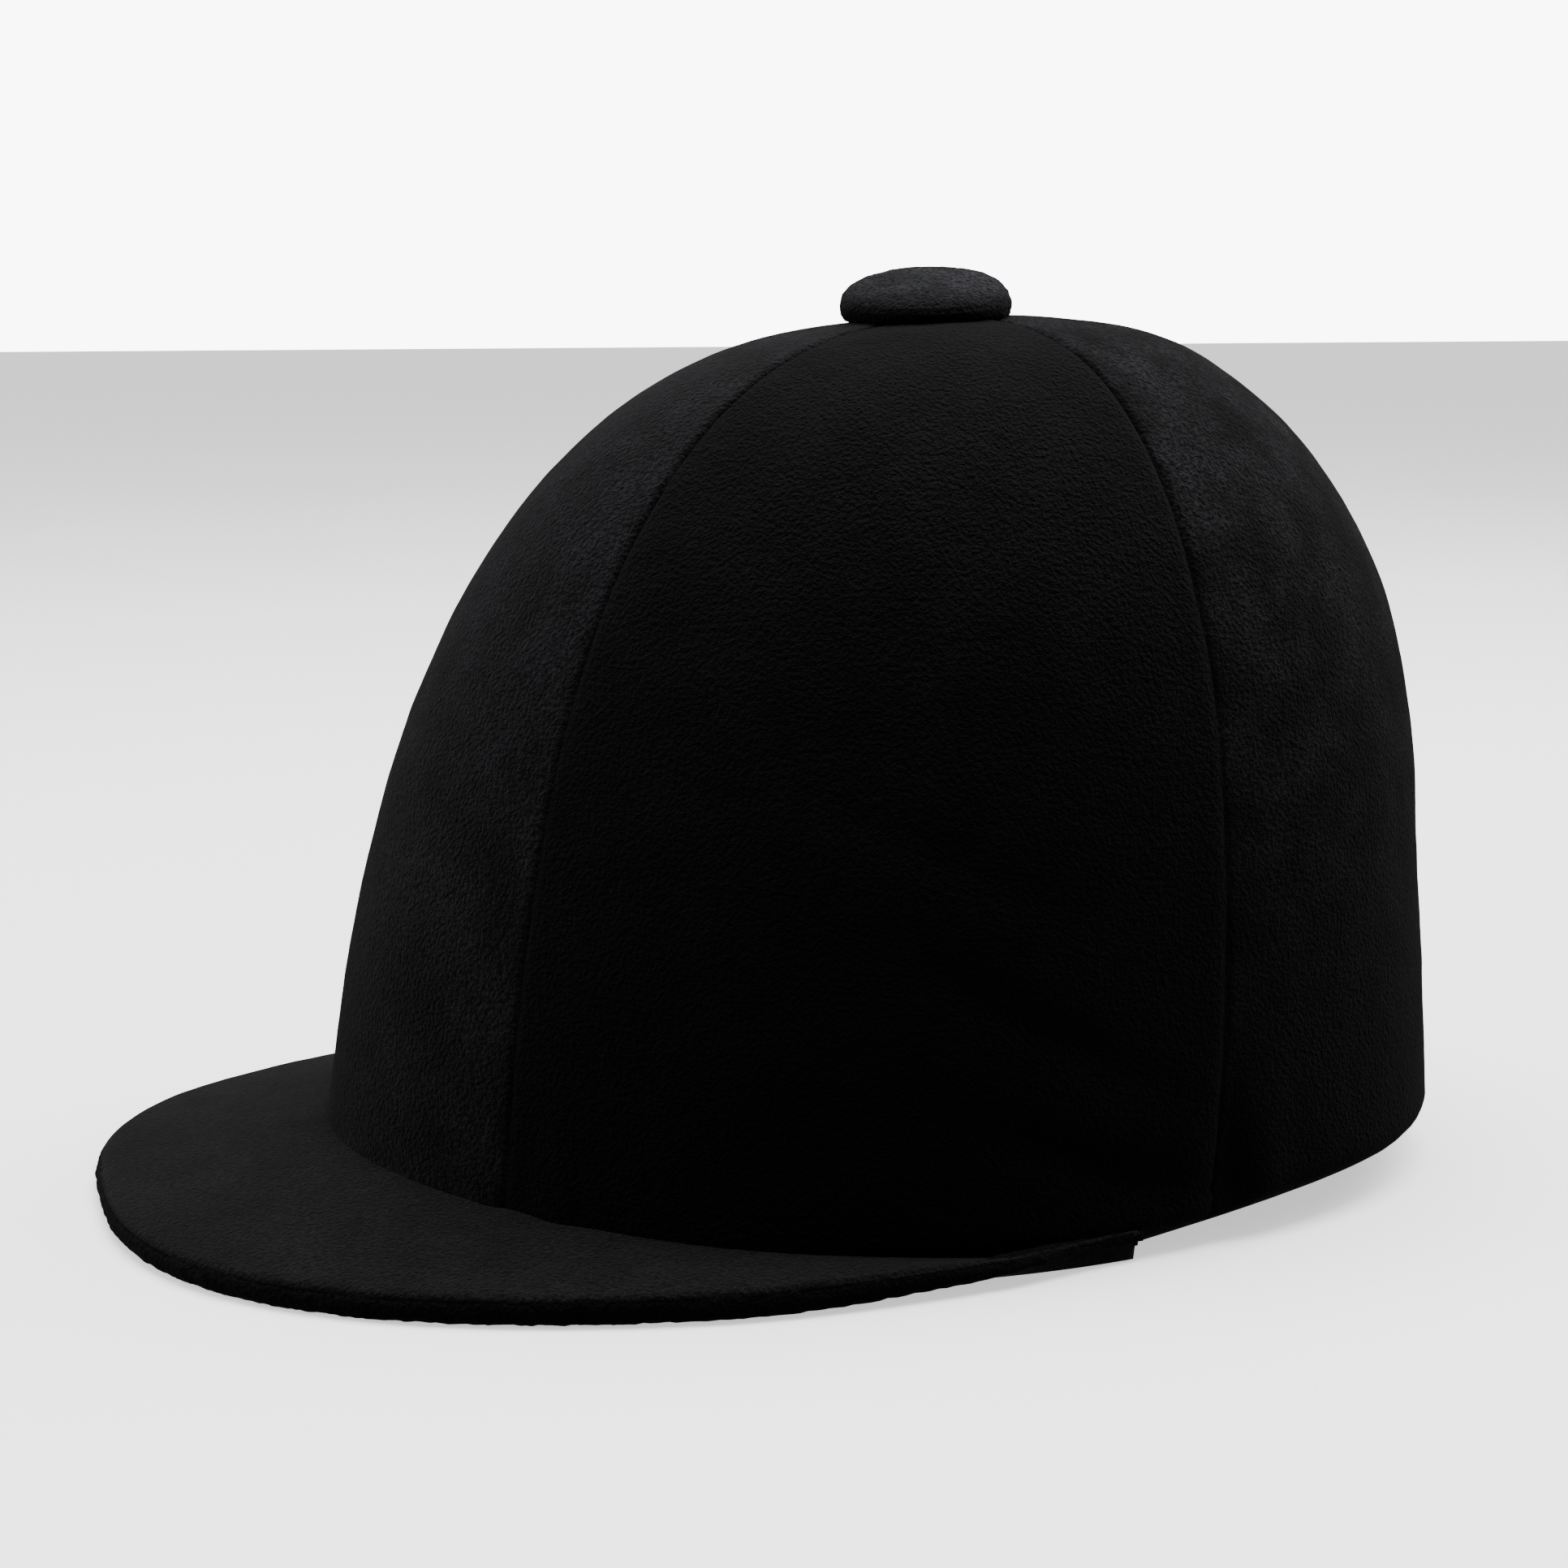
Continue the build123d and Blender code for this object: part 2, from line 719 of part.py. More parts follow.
def chin_strap_path(side, end):
    """Middle line of one side of the chin strap, from the divider to its end at the buckle."""
    return [
        (side * divider_x, divider_top + bond_gap),
        (side * (divider_x - chin_strap_lean), divider_top + chin_strap_rise),
        (side * (divider_x - chin_bend_inset), chin_run_height - chin_bend_drop),
        (side * chin_run_end, chin_run_height),
        (end, chin_run_height),
    ]


chin_plane = Plane((0, chin_strap_y, 0), x_dir=(1, 0, 0), z_dir=(0, -1, 0))
for chin_name, side, end in (
    ("left_chin_strap", 1, male_end + buckle_gap),
    ("right_chin_strap", -1, female_start - buckle_gap),
):
    with BuildPart() as chin_strap:
        with BuildSketch(chin_plane):
            with BuildLine():
                Polyline(*chin_strap_path(side, end))
            trace(line_width=strap_thickness)
        extrude(amount=strap_width / 2, both=True)
    finish(chin_strap, chin_name)

cavity_width = buckle_width - 2 * buckle_wall
cavity_height = buckle_thickness - 2 * buckle_wall
webbing_slot = strap_thickness + 2 * buckle_fit
slot_width = strap_width + 2 * buckle_fit


def buckle_place(x):
    """Place along the buckle's centre line."""
    return Location((x, chin_strap_y, chin_run_height))


near_x = (Align.MIN, Align.CENTER, Align.CENTER)
far_x = (Align.MAX, Align.CENTER, Align.CENTER)
with BuildPart() as buckle_female:
    with Locations(buckle_place(female_start)):
        Box(female_length, buckle_width, buckle_thickness, align=near_x)
    fillet(buckle_female.edges().filter_by(Axis.X), buckle_round)
    with Locations(buckle_place(female_end)):
        Box(cavity_depth, cavity_width, cavity_height, align=far_x, mode=Mode.SUBTRACT)
    with Locations(buckle_place(female_end - window_from_mouth)):
        Box(window_length, buckle_width, window_height, align=far_x, mode=Mode.SUBTRACT)
finish(buckle_female, "buckle_female")

with BuildPart() as buckle_male:
    with Locations(buckle_place(male_start)):
        Box(male_base_length, buckle_width, buckle_thickness, align=near_x)
    fillet(buckle_male.edges().filter_by(Axis.X), buckle_round)
    with Locations(buckle_place(male_end - bar_length)):
        Box(bar_slot, slot_width, buckle_thickness, align=far_x, mode=Mode.SUBTRACT)
    prong_y = cavity_width / 2 - buckle_fit - prong_width / 2
    for prong_place in (prong_y, -prong_y):
        with Locations(buckle_place(male_start) * Location((0, prong_place, 0))):
            Box(prong_length, prong_width, cavity_height - 2 * buckle_fit, align=far_x)
    with Locations(buckle_place(male_start)):
        Box(guide_length, guide_width, cavity_height - 2 * buckle_fit, align=far_x)
finish(buckle_male, "buckle_male")

with BuildPart() as strap_slider:
    with Locations(buckle_place(slider_start)):
        Box(slider_length, buckle_width, webbing_slot + 2 * slider_wall)
    fillet(strap_slider.edges().filter_by(Axis.Y), slider_wall / 2)
    with Locations(buckle_place(slider_start)):
        Box(slider_length * 2, slot_width, webbing_slot, mode=Mode.SUBTRACT)
finish(strap_slider, "strap_slider")
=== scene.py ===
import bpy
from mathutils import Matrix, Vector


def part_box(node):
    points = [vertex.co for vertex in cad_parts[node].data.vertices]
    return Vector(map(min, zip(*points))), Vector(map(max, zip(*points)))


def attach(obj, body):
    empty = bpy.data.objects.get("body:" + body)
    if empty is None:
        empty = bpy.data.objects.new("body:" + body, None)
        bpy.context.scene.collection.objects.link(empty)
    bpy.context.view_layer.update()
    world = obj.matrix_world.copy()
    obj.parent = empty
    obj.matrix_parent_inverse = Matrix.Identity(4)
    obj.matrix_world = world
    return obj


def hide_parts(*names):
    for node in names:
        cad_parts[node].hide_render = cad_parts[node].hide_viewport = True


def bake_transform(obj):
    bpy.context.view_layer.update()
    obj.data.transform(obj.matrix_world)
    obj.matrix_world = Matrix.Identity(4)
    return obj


bl_info = {
    "name": "Velvet Riding Hat",
    "version": (1, 0, 0),
    "blender": (4, 5, 0),
    "location": "View3D > Sidebar > Riding Hat",
    "description": "Builds a velvet-covered riding hat with its peak, button, padding and harness",
    "category": "Add Mesh",
}

from math import asin, atan2, copysign, cos, degrees, exp, pi, radians, sin

import bmesh
import bpy
from bpy.props import FloatProperty, IntProperty, PointerProperty
from mathutils import Matrix, Vector, noise

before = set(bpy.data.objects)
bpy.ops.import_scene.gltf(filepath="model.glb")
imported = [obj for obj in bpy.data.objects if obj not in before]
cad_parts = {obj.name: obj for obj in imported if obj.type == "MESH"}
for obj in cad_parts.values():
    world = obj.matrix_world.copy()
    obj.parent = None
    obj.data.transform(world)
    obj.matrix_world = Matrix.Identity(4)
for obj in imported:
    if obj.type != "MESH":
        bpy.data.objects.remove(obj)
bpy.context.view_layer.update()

MM = 0.001

# The hat's shape follows the frame: half width and height of the crown, and its rim.
CROWN_HALF_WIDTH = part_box("cover_left_panel")[1].x
CROWN_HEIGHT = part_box("cover_front_panel")[1].z
RIM_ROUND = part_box("hem_fold")[1].z
SHOULDER = 2.782  # exponent of height in the crown's curve
FULLNESS = 2.628  # exponent of radius in the crown's curve
FRONT_STRETCH = 1.221  # length of the crown over its width, in front of its centre
REAR_STRETCH = 1.284
CENTRE_Y = 19.4 * MM
LEAN = 0.125  # how far the crown moves back as it rises

# The hard helmet under the cover, which its padding and straps follow.
BAND_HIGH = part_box("headband")[1]
HELMET_Y = 22.6 * MM
FRAME_STRETCH = 1.2525
FRAME_LEAN = 0.118
MEAN_STRETCH = 1.13  # length of a ring of the crown over that of a circle as wide


# ---- Shapes ----
def crown_radius(z, inset=0.0, inset_top=None):
    """Radius of the crown at a height, before it is stretched to the hat's length."""
    height = CROWN_HEIGHT - (inset if inset_top is None else inset_top)
    share = min(max(z / height, 0.0), 1.0)
    return (CROWN_HALF_WIDTH - inset) * (1 - share**SHOULDER) ** (1 / FULLNESS)


def cover_point(turn, radius, z):
    """Point of the cover at a turn from the front towards the wearer's left."""
    stretch = FRONT_STRETCH if cos(turn) > 0 else REAR_STRETCH
    return Vector((radius * sin(turn), CENTRE_Y + LEAN * z - stretch * radius * cos(turn), z))


def helmet_point(turn, radius, z):
    """Point of the hard helmet or its padding, at a turn from the front to the left."""
    return Vector((radius * sin(turn), HELMET_Y + FRAME_LEAN * z - FRAME_STRETCH * radius * cos(turn), z))


def even_spacing(points, step):
    """Points along a line, the same distance apart."""
    points = [Vector(p) for p in points]
    runs = [(b - a).length for a, b in zip(points, points[1:])]
    total = sum(runs)
    count = max(2, round(total / step))
    spaced, index, passed = [points[0]], 0, 0.0
    for k in range(1, count):
        target = total * k / count
        while passed + runs[index] < target:
            passed += runs[index]
            index += 1
        spaced.append(points[index].lerp(points[index + 1], (target - passed) / runs[index]))
    return spaced + [points[-1]]


def dome_curve(inset, inset_top, bottom, step):
    """Section of a dome from its bottom height to the pole, as (radius, height) points."""
    half_width, height = CROWN_HALF_WIDTH - inset, CROWN_HEIGHT - inset_top
    first = asin((bottom / height) ** (SHOULDER / 2))
    fine = []
    for k in range(401):
        a = first + (pi / 2 - first) * k / 400
        fine.append((half_width * max(cos(a), 0.0) ** (2 / FULLNESS), height * sin(a) ** (2 / SHOULDER)))
    fine[-1] = (0.0, height)
    return even_spacing(fine, step)


def turned(section, start, arc, steps, closed=False):
    """Spin a (radius, height) section about the upright axis and return the bmesh."""
    bm = bmesh.new()
    verts = [bm.verts.new((r * sin(start), -r * cos(start), z)) for r, z in section]
    pairs = list(zip(verts, verts[1:])) + ([(verts[-1], verts[0])] if closed else [])
    edges = [bm.edges.new(pair) for pair in pairs]
    full = arc > 2 * pi - 1e-6
    bmesh.ops.spin(
        bm, geom=verts + edges, cent=(0, 0, 0), axis=(0, 0, 1), angle=arc, steps=steps, use_merge=full
    )
    bmesh.ops.remove_doubles(bm, verts=bm.verts, dist=1e-6)
    return bm


def ring_section(middle, half_width, half_height, count, squareness=1.0):
    """Closed (radius, height) section about its middle: an ellipse, or a rounded box below 1."""
    section = []
    for k in range(count):
        a = 2 * pi * k / count
        across = copysign(abs(cos(a)) ** squareness, cos(a))
        up = copysign(abs(sin(a)) ** squareness, sin(a))
        section.append((middle[0] + half_width * across, middle[1] + half_height * up))
    return section


def polar(vertex):
    """Turn, radius and height of a vertex that was spun about the upright axis."""
    x, y, z = vertex.co
    return atan2(x, -y), (x * x + y * y) ** 0.5, z


def agree(bm):
    """Make the faces of a closed piece point outwards."""
    bmesh.ops.recalc_face_normals(bm, faces=bm.faces)


def face_outwards(bm, centre=(0, 0, 0.06)):
    """Make the faces agree and point away from the middle of the hat."""
    agree(bm)
    centre = Vector(centre)
    way = sum(f.normal.dot(f.calc_center_median() - centre) * f.calc_area() for f in bm.faces)
    if way < 0:
        bmesh.ops.reverse_faces(bm, faces=bm.faces)


def bell(x, width):
    """Smooth bump of height one."""
    return exp(-((x / width) ** 2))


def ease(x):
    """Smooth step from 0 to 1."""
    x = min(max(x, 0.0), 1.0)
    return x * x * (3 - 2 * x)


def piece(name, bm, material, body, slot, *nodes, thickness=0.0, offset=-1.0):
    """Make an object from a bmesh, put it under its body, and hide the frame parts it stands for."""
    mesh = bpy.data.meshes.new(name)
    bm.to_mesh(mesh)
    bm.free()
    mesh.shade_smooth()
    obj = bpy.data.objects.new(name, mesh)
    bpy.context.scene.collection.objects.link(obj)
    mesh.materials.append(material)
    if thickness:
        wall = obj.modifiers.new("thickness", "SOLIDIFY")
        wall.thickness = thickness
        wall.offset = offset
        wall.use_even_offset = False
    if body:
        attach(obj, body)
    if nodes:
        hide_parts(*nodes)
    return obj


# ---- Materials ----
def linear(code):
    """Linear colour from an sRGB hex value."""
    parts = [int(code[i : i + 2], 16) / 255 for i in (1, 3, 5)]
    return [c / 12.92 if c <= 0.04045 else ((c + 0.055) / 1.055) ** 2.4 for c in parts] + [1.0]


def add_node(material, kind, settings=None, **inputs):
    """Add a node, set its options and its sockets, and link the sockets that are given."""
    tree = material.node_tree
    made = tree.nodes.new("ShaderNode" + kind)
    for option, value in (settings or {}).items():
        setattr(made, option, value)
    for socket, value in inputs.items():
        numbered = socket[0] == "i" and socket[1:].isdigit()
        target = made.inputs[int(socket[1:]) if numbered else socket.replace("_", " ")]
        if isinstance(value, bpy.types.NodeSocket):
            tree.links.new(value, target)
        else:
            target.default_value = value
    return made


def new_material(name, **surface):
    """A material with one shader, and its object coordinates."""
    material = bpy.data.materials.new(name)
    material.use_nodes = True
    material.node_tree.nodes.clear()
    shader = add_node(material, "BsdfPrincipled", **surface)
    output = add_node(material, "OutputMaterial")
    material.node_tree.links.new(shader.outputs[0], output.inputs["Surface"])
    place = add_node(material, "TexCoord")
    return material, shader, place


def per_mm(size):
    """Scale of a noise whose features are a size in millimetres."""
    return 1 / (size * MM)


def link(material, start, end):
    material.node_tree.links.new(start, end)


def shades(material, factor, dark, light, start=0.0, end=1.0):
    """Colour that goes from one hex value to another as the factor goes from start to end."""
    ramp = add_node(material, "ValToRGB", i0=factor)
    for stop, position, code in zip(ramp.color_ramp.elements, (start, end), (dark, light)):
        stop.position = position
        stop.color = linear(code)
    return ramp.outputs["Color"]


def finish_surface(material, shader, colour, height, depth, strength, **options):
    """Give a shader its colour, and a relief of a depth in millimetres."""
    relief = add_node(material, "Bump", options, Strength=strength, Distance=depth * MM, Height=height)
    link(material, colour, shader.inputs["Base Color"])
    link(material, relief.outputs["Normal"], shader.inputs["Normal"])


def velvet(
    name, dark, light, sheen, depth, patch, foot=1.0, grain=1.0, rise=(10, 150), pile=1.0, bloom=0.45
):
    """Cut-pile cotton velvet: matt and nearly black face on, with soft brushed patches, a fine
    grain of pile tips, a pale bloom where it is seen edge on, and painted shade that darkens
    its colour towards its foot, as if light fell only from above."""
    material, shader, place = new_material(
        name, Roughness=0.95, Sheen_Weight=sheen, Sheen_Roughness=bloom,
        Sheen_Tint=linear("#E9EAF0"), Specular_IOR_Level=0.06, IOR=1.5,
    )
    where = place.outputs["Object"]
    brushed = add_node(material, "TexNoise", Vector=where, Scale=per_mm(patch), Detail=4.0, Roughness=0.6)
    tips = add_node(material, "TexNoise", Vector=where, Scale=per_mm(pile), Detail=2.0, Roughness=0.6)
    spread = add_node(material, "MapRange", i0=brushed.outputs["Fac"], i1=0.38, i2=0.64)
    shade = add_node(
        material, "Mix", {"data_type": "RGBA"}, i0=spread.outputs[0], i6=linear(dark), i7=linear(light)
    )
    # Pile tips catch the light and the gaps between them do not.
    spark = add_node(
        material, "MapRange", i0=tips.outputs["Fac"], i1=0.32, i2=0.68, i3=1 - grain, i4=1 + grain
    )
    # Painted shade: the colour is scaled from 1 at the top of the rise down to the foot value at its bottom,
    # so the lower velvet looks out of the light.
    height = add_node(material, "SeparateXYZ", Vector=where)
    low = add_node(
        material, "MapRange", i0=height.outputs["Z"], i1=rise[0] * MM, i2=rise[1] * MM, i3=foot, i4=1.0
    )
    level = add_node(material, "Math", {"operation": "MULTIPLY"}, i0=spark.outputs[0], i1=low.outputs[0])
    tone = add_node(
        material, "VectorMath", {"operation": "SCALE"}, i0=shade.outputs[2], Scale=level.outputs[0]
    )
    link(material, tone.outputs[0], shader.inputs["Base Color"])
    # The pile lies one way and another in soft drifts, under the grain of its tips.
    lay = add_node(material, "TexNoise", Vector=where, Scale=per_mm(patch * 0.4), Detail=2.0)
    soft = add_node(material, "Bump", Strength=0.5, Distance=0.9 * MM, Height=lay.outputs["Fac"])
    fine = add_node(
        material, "Bump", Strength=1.0, Distance=depth * MM, Height=tips.outputs["Fac"],
        Normal=soft.outputs["Normal"],
    )
    link(material, fine.outputs["Normal"], shader.inputs["Normal"])
    return material


def woven(name, colour, light, thread, depth, roughness, use_uv=True, slant=0.0):
    """Woven cloth or tape: ribs of thread, matt, with a little lustre on each rib."""
    material, shader, place = new_material(
        name, Roughness=roughness, Sheen_Weight=0.05, Sheen_Roughness=0.4, IOR=1.5, Specular_IOR_Level=0.35
    )
    source = place.outputs["UV" if use_uv else "Object"]
    turn = add_node(material, "Mapping", Vector=source, Rotation=(0, 0, slant))
    warp, weft = (
        add_node(
            material, "TexWave", {"bands_direction": way, "wave_profile": "SIN"}, Vector=turn.outputs[0],
            Scale=per_mm(thread) / pi, Distortion=0.4, Detail=1.0,
        )
        for way in "XY"
    )
    ribs = add_node(
        material, "Math", {"operation": "MULTIPLY"}, i0=warp.outputs["Fac"], i1=weft.outputs["Fac"]
    ).outputs[0]
    finish_surface(material, shader, shades(material, ribs, colour, light), ribs, depth, 0.7)
    return material


def knit(name, colour, light, loop, depth):
    """Brushed knit over foam: a fine regular loop with a raised, dull surface."""
    material, shader, place = new_material(
        name, Roughness=0.88, Sheen_Weight=0.12, Sheen_Roughness=0.45, IOR=1.5, Specular_IOR_Level=0.2
    )
    where = place.outputs["Object"]
    cells = add_node(material, "TexVoronoi", Vector=where, Scale=per_mm(loop), Randomness=0.35)
    wear = add_node(material, "TexNoise", Vector=where, Scale=per_mm(22.0), Detail=3.0)
    mixed = add_node(
        material, "Math", {"operation": "MULTIPLY_ADD"}, i0=cells.outputs["Distance"], i1=0.5,
        i2=wear.outputs["Fac"],
    )
    shade = shades(material, mixed.outputs[0], light, colour, 0.4, 0.9)
    finish_surface(material, shader, shade, cells.outputs["Distance"], depth, 0.6, invert=True)
    return material


def moulded(name, colour, light, roughness, grain, depth, coat=0.0, metallic=0.0):
    """Moulded or plated surface: even colour with a slight cloud, and a fine grain."""
    settings = dict(Roughness=roughness, Coat_Weight=coat, Coat_Roughness=0.08, Metallic=metallic)
    if not metallic:
        settings["IOR"] = 1.5
    material, shader, place = new_material(name, **settings)
    where = place.outputs["Object"]
    cloud = add_node(material, "TexNoise", Vector=where, Scale=per_mm(14.0), Detail=4.0)
    pits = add_node(material, "TexNoise", Vector=where, Scale=per_mm(grain), Detail=2.0)
    shade = shades(material, cloud.outputs["Fac"], colour, light, 0.35, 0.7)
    finish_surface(material, shader, shade, pits.outputs["Fac"], depth, 0.4)
    return material


def bead_foam(name):
    """Expanded polystyrene: fused beads a few millimetres across, satin, with a dark line between."""
    material, shader, place = new_material(name, Roughness=0.62, IOR=1.45, Specular_IOR_Level=0.4)
    beads = add_node(
        material, "TexVoronoi", {"feature": "DISTANCE_TO_EDGE"}, Vector=place.outputs["Object"],
        Scale=per_mm(3.2),
    )
    shade = shades(material, beads.outputs["Distance"], "#141415", "#303133", 0.0, 0.12)
    finish_surface(material, shader, shade, shade, 0.4, 0.7)
    return material


KEPT = {}


def finishes():
    """Every finish of the hat, made once."""
    if "finishes" in KEPT:
        return KEPT["finishes"]
    made = {
        # The panels' tones differ partly by the lie of their nap and partly by painted light: the front is
        # painted lighter than the sides, and the rear lightest at its top; foot and rise set how far painted
        # shade darkens each towards the rim.
        "front": velvet("velvet_front", "#050506", "#0F0F11", 0.022, 1.4, 20.0, foot=0.7),
        "side": velvet("velvet_side", "#010101", "#040405", 0.005, 1.6, 18.0, foot=0.05),
        "rear": velvet("velvet_rear", "#030304", "#151517", 0.006, 1.4, 14.0, foot=0.03, rise=(20, 195)),
        "peak": velvet("velvet_peak", "#060607", "#0B0B0C", 0.024, 1.0, 20.0, grain=0.8, bloom=0.5),
        # Painted shade: the rolled edge is the same velvet as the peak, painted nearly black where it lies
        # in shade.
        "edge": velvet("velvet_edge_shaded", "#010101", "#050505", 0.0, 1.2, 8.0),
        "under": velvet(
            "velvet_under", "#060606", "#101011", 0.03, 0.3, 20.0, grain=0.5, pile=1.1, bloom=0.5
        ),
        # The button's velvet is lighter than the crown's, partly as greyer cloth and partly as painted light
        # on its top; painted shade darkens it down its sides, between 205 and 210 mm high.
        "button": velvet(
            "velvet_button", "#101012", "#1D1D20", 0.012, 1.6, 9.0, foot=0.0, rise=(205, 210), bloom=0.5
        ),
        "lining": woven("satin_lining", "#15151A", "#26262D", 0.8, 0.05, 0.35, use_uv=False),
        "tape": woven("woven_tape", "#0B0B0C", "#1A1A1C", 0.9, 0.12, 0.75),
        "elastic": woven("braided_elastic", "#0E0E0F", "#232325", 1.0, 0.15, 0.6, use_uv=False),
        "webbing": woven("nylon_webbing", "#0B0B0C", "#222224", 1.1, 0.2, 0.5, slant=radians(45)),
        "thread": woven("sewing_thread", "#0D0D0E", "#1E1E20", 0.3, 0.04, 0.5, use_uv=False),
        "knit": knit("brushed_knit", "#0D0D0F", "#232327", 1.2, 0.25),
        "leather": moulded("stitched_leather", "#0C0A09", "#1A1613", 0.5, 0.9, 0.2),
        "shell": moulded("glass_fibre_shell", "#0A0A0C", "#121215", 0.3, 6.0, 0.06, coat=0.6),
        "rubber": moulded("edge_rubber", "#0C0C0C", "#161616", 0.65, 0.6, 0.08),
        "acetal": moulded("moulded_acetal", "#0B0B0B", "#131313", 0.35, 0.4, 0.03),
        "board": moulded("polyethylene_sheet", "#B9B4A6", "#CBC7BA", 0.5, 1.0, 0.05),
        "former": moulded("button_former", "#1C1C1C", "#262626", 0.5, 1.0, 0.05),
        "steel": moulded("zinc_plated_steel", "#A9AAAC", "#C2C3C6", 0.35, 0.3, 0.02, metallic=1.0),
        "foam": bead_foam("bead_foam"),
    }
    KEPT["finishes"] = made
    return made


# ---- Sizes a user would change ----
def measure(name, description, default, **limits):
    """A length property, with its default in millimetres."""
    return FloatProperty(
        name=name, description=description, default=default * MM, unit="LENGTH", precision=5, **limits
    )


class HAT_PG_sizes(bpy.types.PropertyGroup):
    """Sizes of the hat's soft pieces."""

    mesh_step: measure("Mesh step", "Distance between points of the velvet panels", 2.0, min=1.0 * MM)
    velvet: measure("Velvet", "Thickness of the velvet with its backing", 1.3)
    lining: measure("Lining", "Thickness of the satin lining", 0.35)
    seam_depth: measure("Seam depth", "How far the velvet sinks at a seam", 0.9)
    fullness: measure("Panel fullness", "How far each panel swells between its seams", 0.5)
    strap: measure("Strap thickness", "Thickness of the webbing", 1.3)
    stitch: measure("Stitch pitch", "Distance from one stitch to the next", 3.4)
    channels: IntProperty(
        name="Headband channels", description="Sewn channels round the headband", default=22, min=4
    )


# Angle of each seam from the front, and how far it strays at the rim and at the top, in degrees.
FRONT_SEAM, REAR_SEAM = 37.0, 110.5
SEAM_DRIFT = {FRONT_SEAM: (1.8, -5.3), REAR_SEAM: (2.3, -4.1)}

# The rim is cut up behind the ears, and the lift dies out up the wall.
RIM_LIFT = 8.0 * MM
LIFT_START, LIFT_SPREAD = 101.0, 38.0
LIFT_HEIGHT = 60 * MM
PAD_LIFT_HEIGHT = 30 * MM

# Low down at the back the velvet stands off the helmet.
FLARE = 10.2 * MM
FLARE_START, FLARE_SPREAD = 96.0, 50.0
FLARE_HEIGHT = 85 * MM

# Slanting folds of a side panel: height at the rear seam, slope, distance ahead of it, and depth.
FOLDS = ((10, 0.45, 26, 1.5), (30, 0.6, 40, 1.1), (62, 0.5, 60, 0.6))


def seam_turn(turn, z):
    """Where a point of a panel goes, as its seams run slightly forward towards the top."""
    side = 1 if turn >= 0 else -1
    angle = abs(degrees(turn))
    rise = z / CROWN_HEIGHT
    front, rear = (low * (1 - rise) + high * rise for low, high in SEAM_DRIFT.values())
    if angle < FRONT_SEAM:
        shift = front * angle / FRONT_SEAM
    elif angle < REAR_SEAM:
        shift = front + (rear - front) * (angle - FRONT_SEAM) / (REAR_SEAM - FRONT_SEAM)
    else:
        shift = rear * (180 - angle) / (180 - REAR_SEAM)
    return side * radians(angle + shift)


def crown_outward(turn, radius, z):
    """Direction straight out of the cover."""
    if z < RIM_ROUND:
        across, up = radius - (CROWN_HALF_WIDTH - RIM_ROUND), z - RIM_ROUND
    else:
        step = 0.2 * MM
        across, up = 2 * step, crown_radius(z - step) - crown_radius(z + step)
    stretch = FRONT_STRETCH if cos(turn) > 0 else REAR_STRETCH
    return Vector((across * stretch * sin(turn), -across * cos(turn), up * stretch)).normalized()


def rim_rise(turn):
    """How far the rim is cut up behind the ears."""
    share = (abs(degrees(turn)) - LIFT_START) / LIFT_SPREAD
    return RIM_LIFT * sin(pi / 2 * min(max(share, 0.0), 1.0))


def rear_flare(turn, z):
    """How far the velvet stands off the helmet low down at the back."""
    low = 1 - min(max(z / FLARE_HEIGHT, 0.0), 1.0)
    return FLARE * low**1.5 * ease((abs(degrees(turn)) - FLARE_START) / FLARE_SPREAD)


def velvet_relief(turn, radius, z, sizes):
    """How far the velvet stands out or sinks, from its seams, fullness and soft folds."""
    angle = abs(degrees(turn))
    across = radians(1) * radius * MEAN_STRETCH / MM
    height = z / MM
    near_top = min(1.0, radius / (16 * MM))
    out = 0.0
    for seam in (FRONT_SEAM, REAR_SEAM, 180.0):
        away = (angle - seam) * across
        depth = 0.35 + 0.65 * ease((height - 120) / 60) + 0.3 * noise.noise((height / 14, seam, 0))
        out -= sizes.seam_depth / MM * depth * bell(away, 0.8) * near_top
        if seam < 180:
            out += 0.12 * bell(away + 2.6, 1.8) * near_top
        # Puckers where each seam meets the rim.
        low = max(0.0, 1 - height / 48)
        depth = 0.7 if seam == FRONT_SEAM else 3.0
        out -= depth * low * bell(away - 3.5 + height * 0.03, 1.6 + 3.2 * low)
        out += 1.2 * low * bell(away - 13, 5) + 0.5 * low * bell(away + 6, 4)
    spans = ((0.0, FRONT_SEAM), (FRONT_SEAM, REAR_SEAM), (REAR_SEAM, 180.0))
    for first, last in spans:
        if first <= angle <= last:
            share = (angle - first) / (last - first)
            swell = cos(share * pi / 2) if first == 0.0 else sin(share * pi)
            out += sizes.fullness / MM * swell * near_top
    # Soft slanting folds at the foot of the side panels, in front of the rear seam.
    ahead = (REAR_SEAM - angle) * across
    if ahead > 0:
        for start, slope, reach, strength in FOLDS:
            out -= strength * bell(height - start - slope * ahead, 5.0) * bell(ahead - reach, 26)
    # The crown is a little fuller behind the button and flatter on its rear shoulder.
    behind = max(0.0, -cos(turn))
    out += behind * (1.7 * bell(height - 197, 7) - 1.3 * bell(height - 168, 20))
    return out * MM


def cloth_noise(point):
    """Unevenness of cloth drawn over a hard shell."""
    waves = ((0.42, 34), (0.14, 11), (0.07, 4.2))
    return sum(high * MM * noise.noise(point / (wide * MM)) for high, wide in waves)


def cover_section(step):
    """Section of the velvet: in under the rim, round it and up to the pole."""
    centre = CROWN_HALF_WIDTH - RIM_ROUND
    turn_in, bottom = 5.2 * MM, 0.35 * MM
    low = [(centre - turn_in, bottom)]
    for k in range(13):
        a = radians(-90 + 90 * k / 12)
        low.append((centre + RIM_ROUND * cos(a), RIM_ROUND + (RIM_ROUND - bottom) * sin(a)))
    return even_spacing(low, step * 0.7)[:-1] + dome_curve(0.0, 0.0, RIM_ROUND, step)


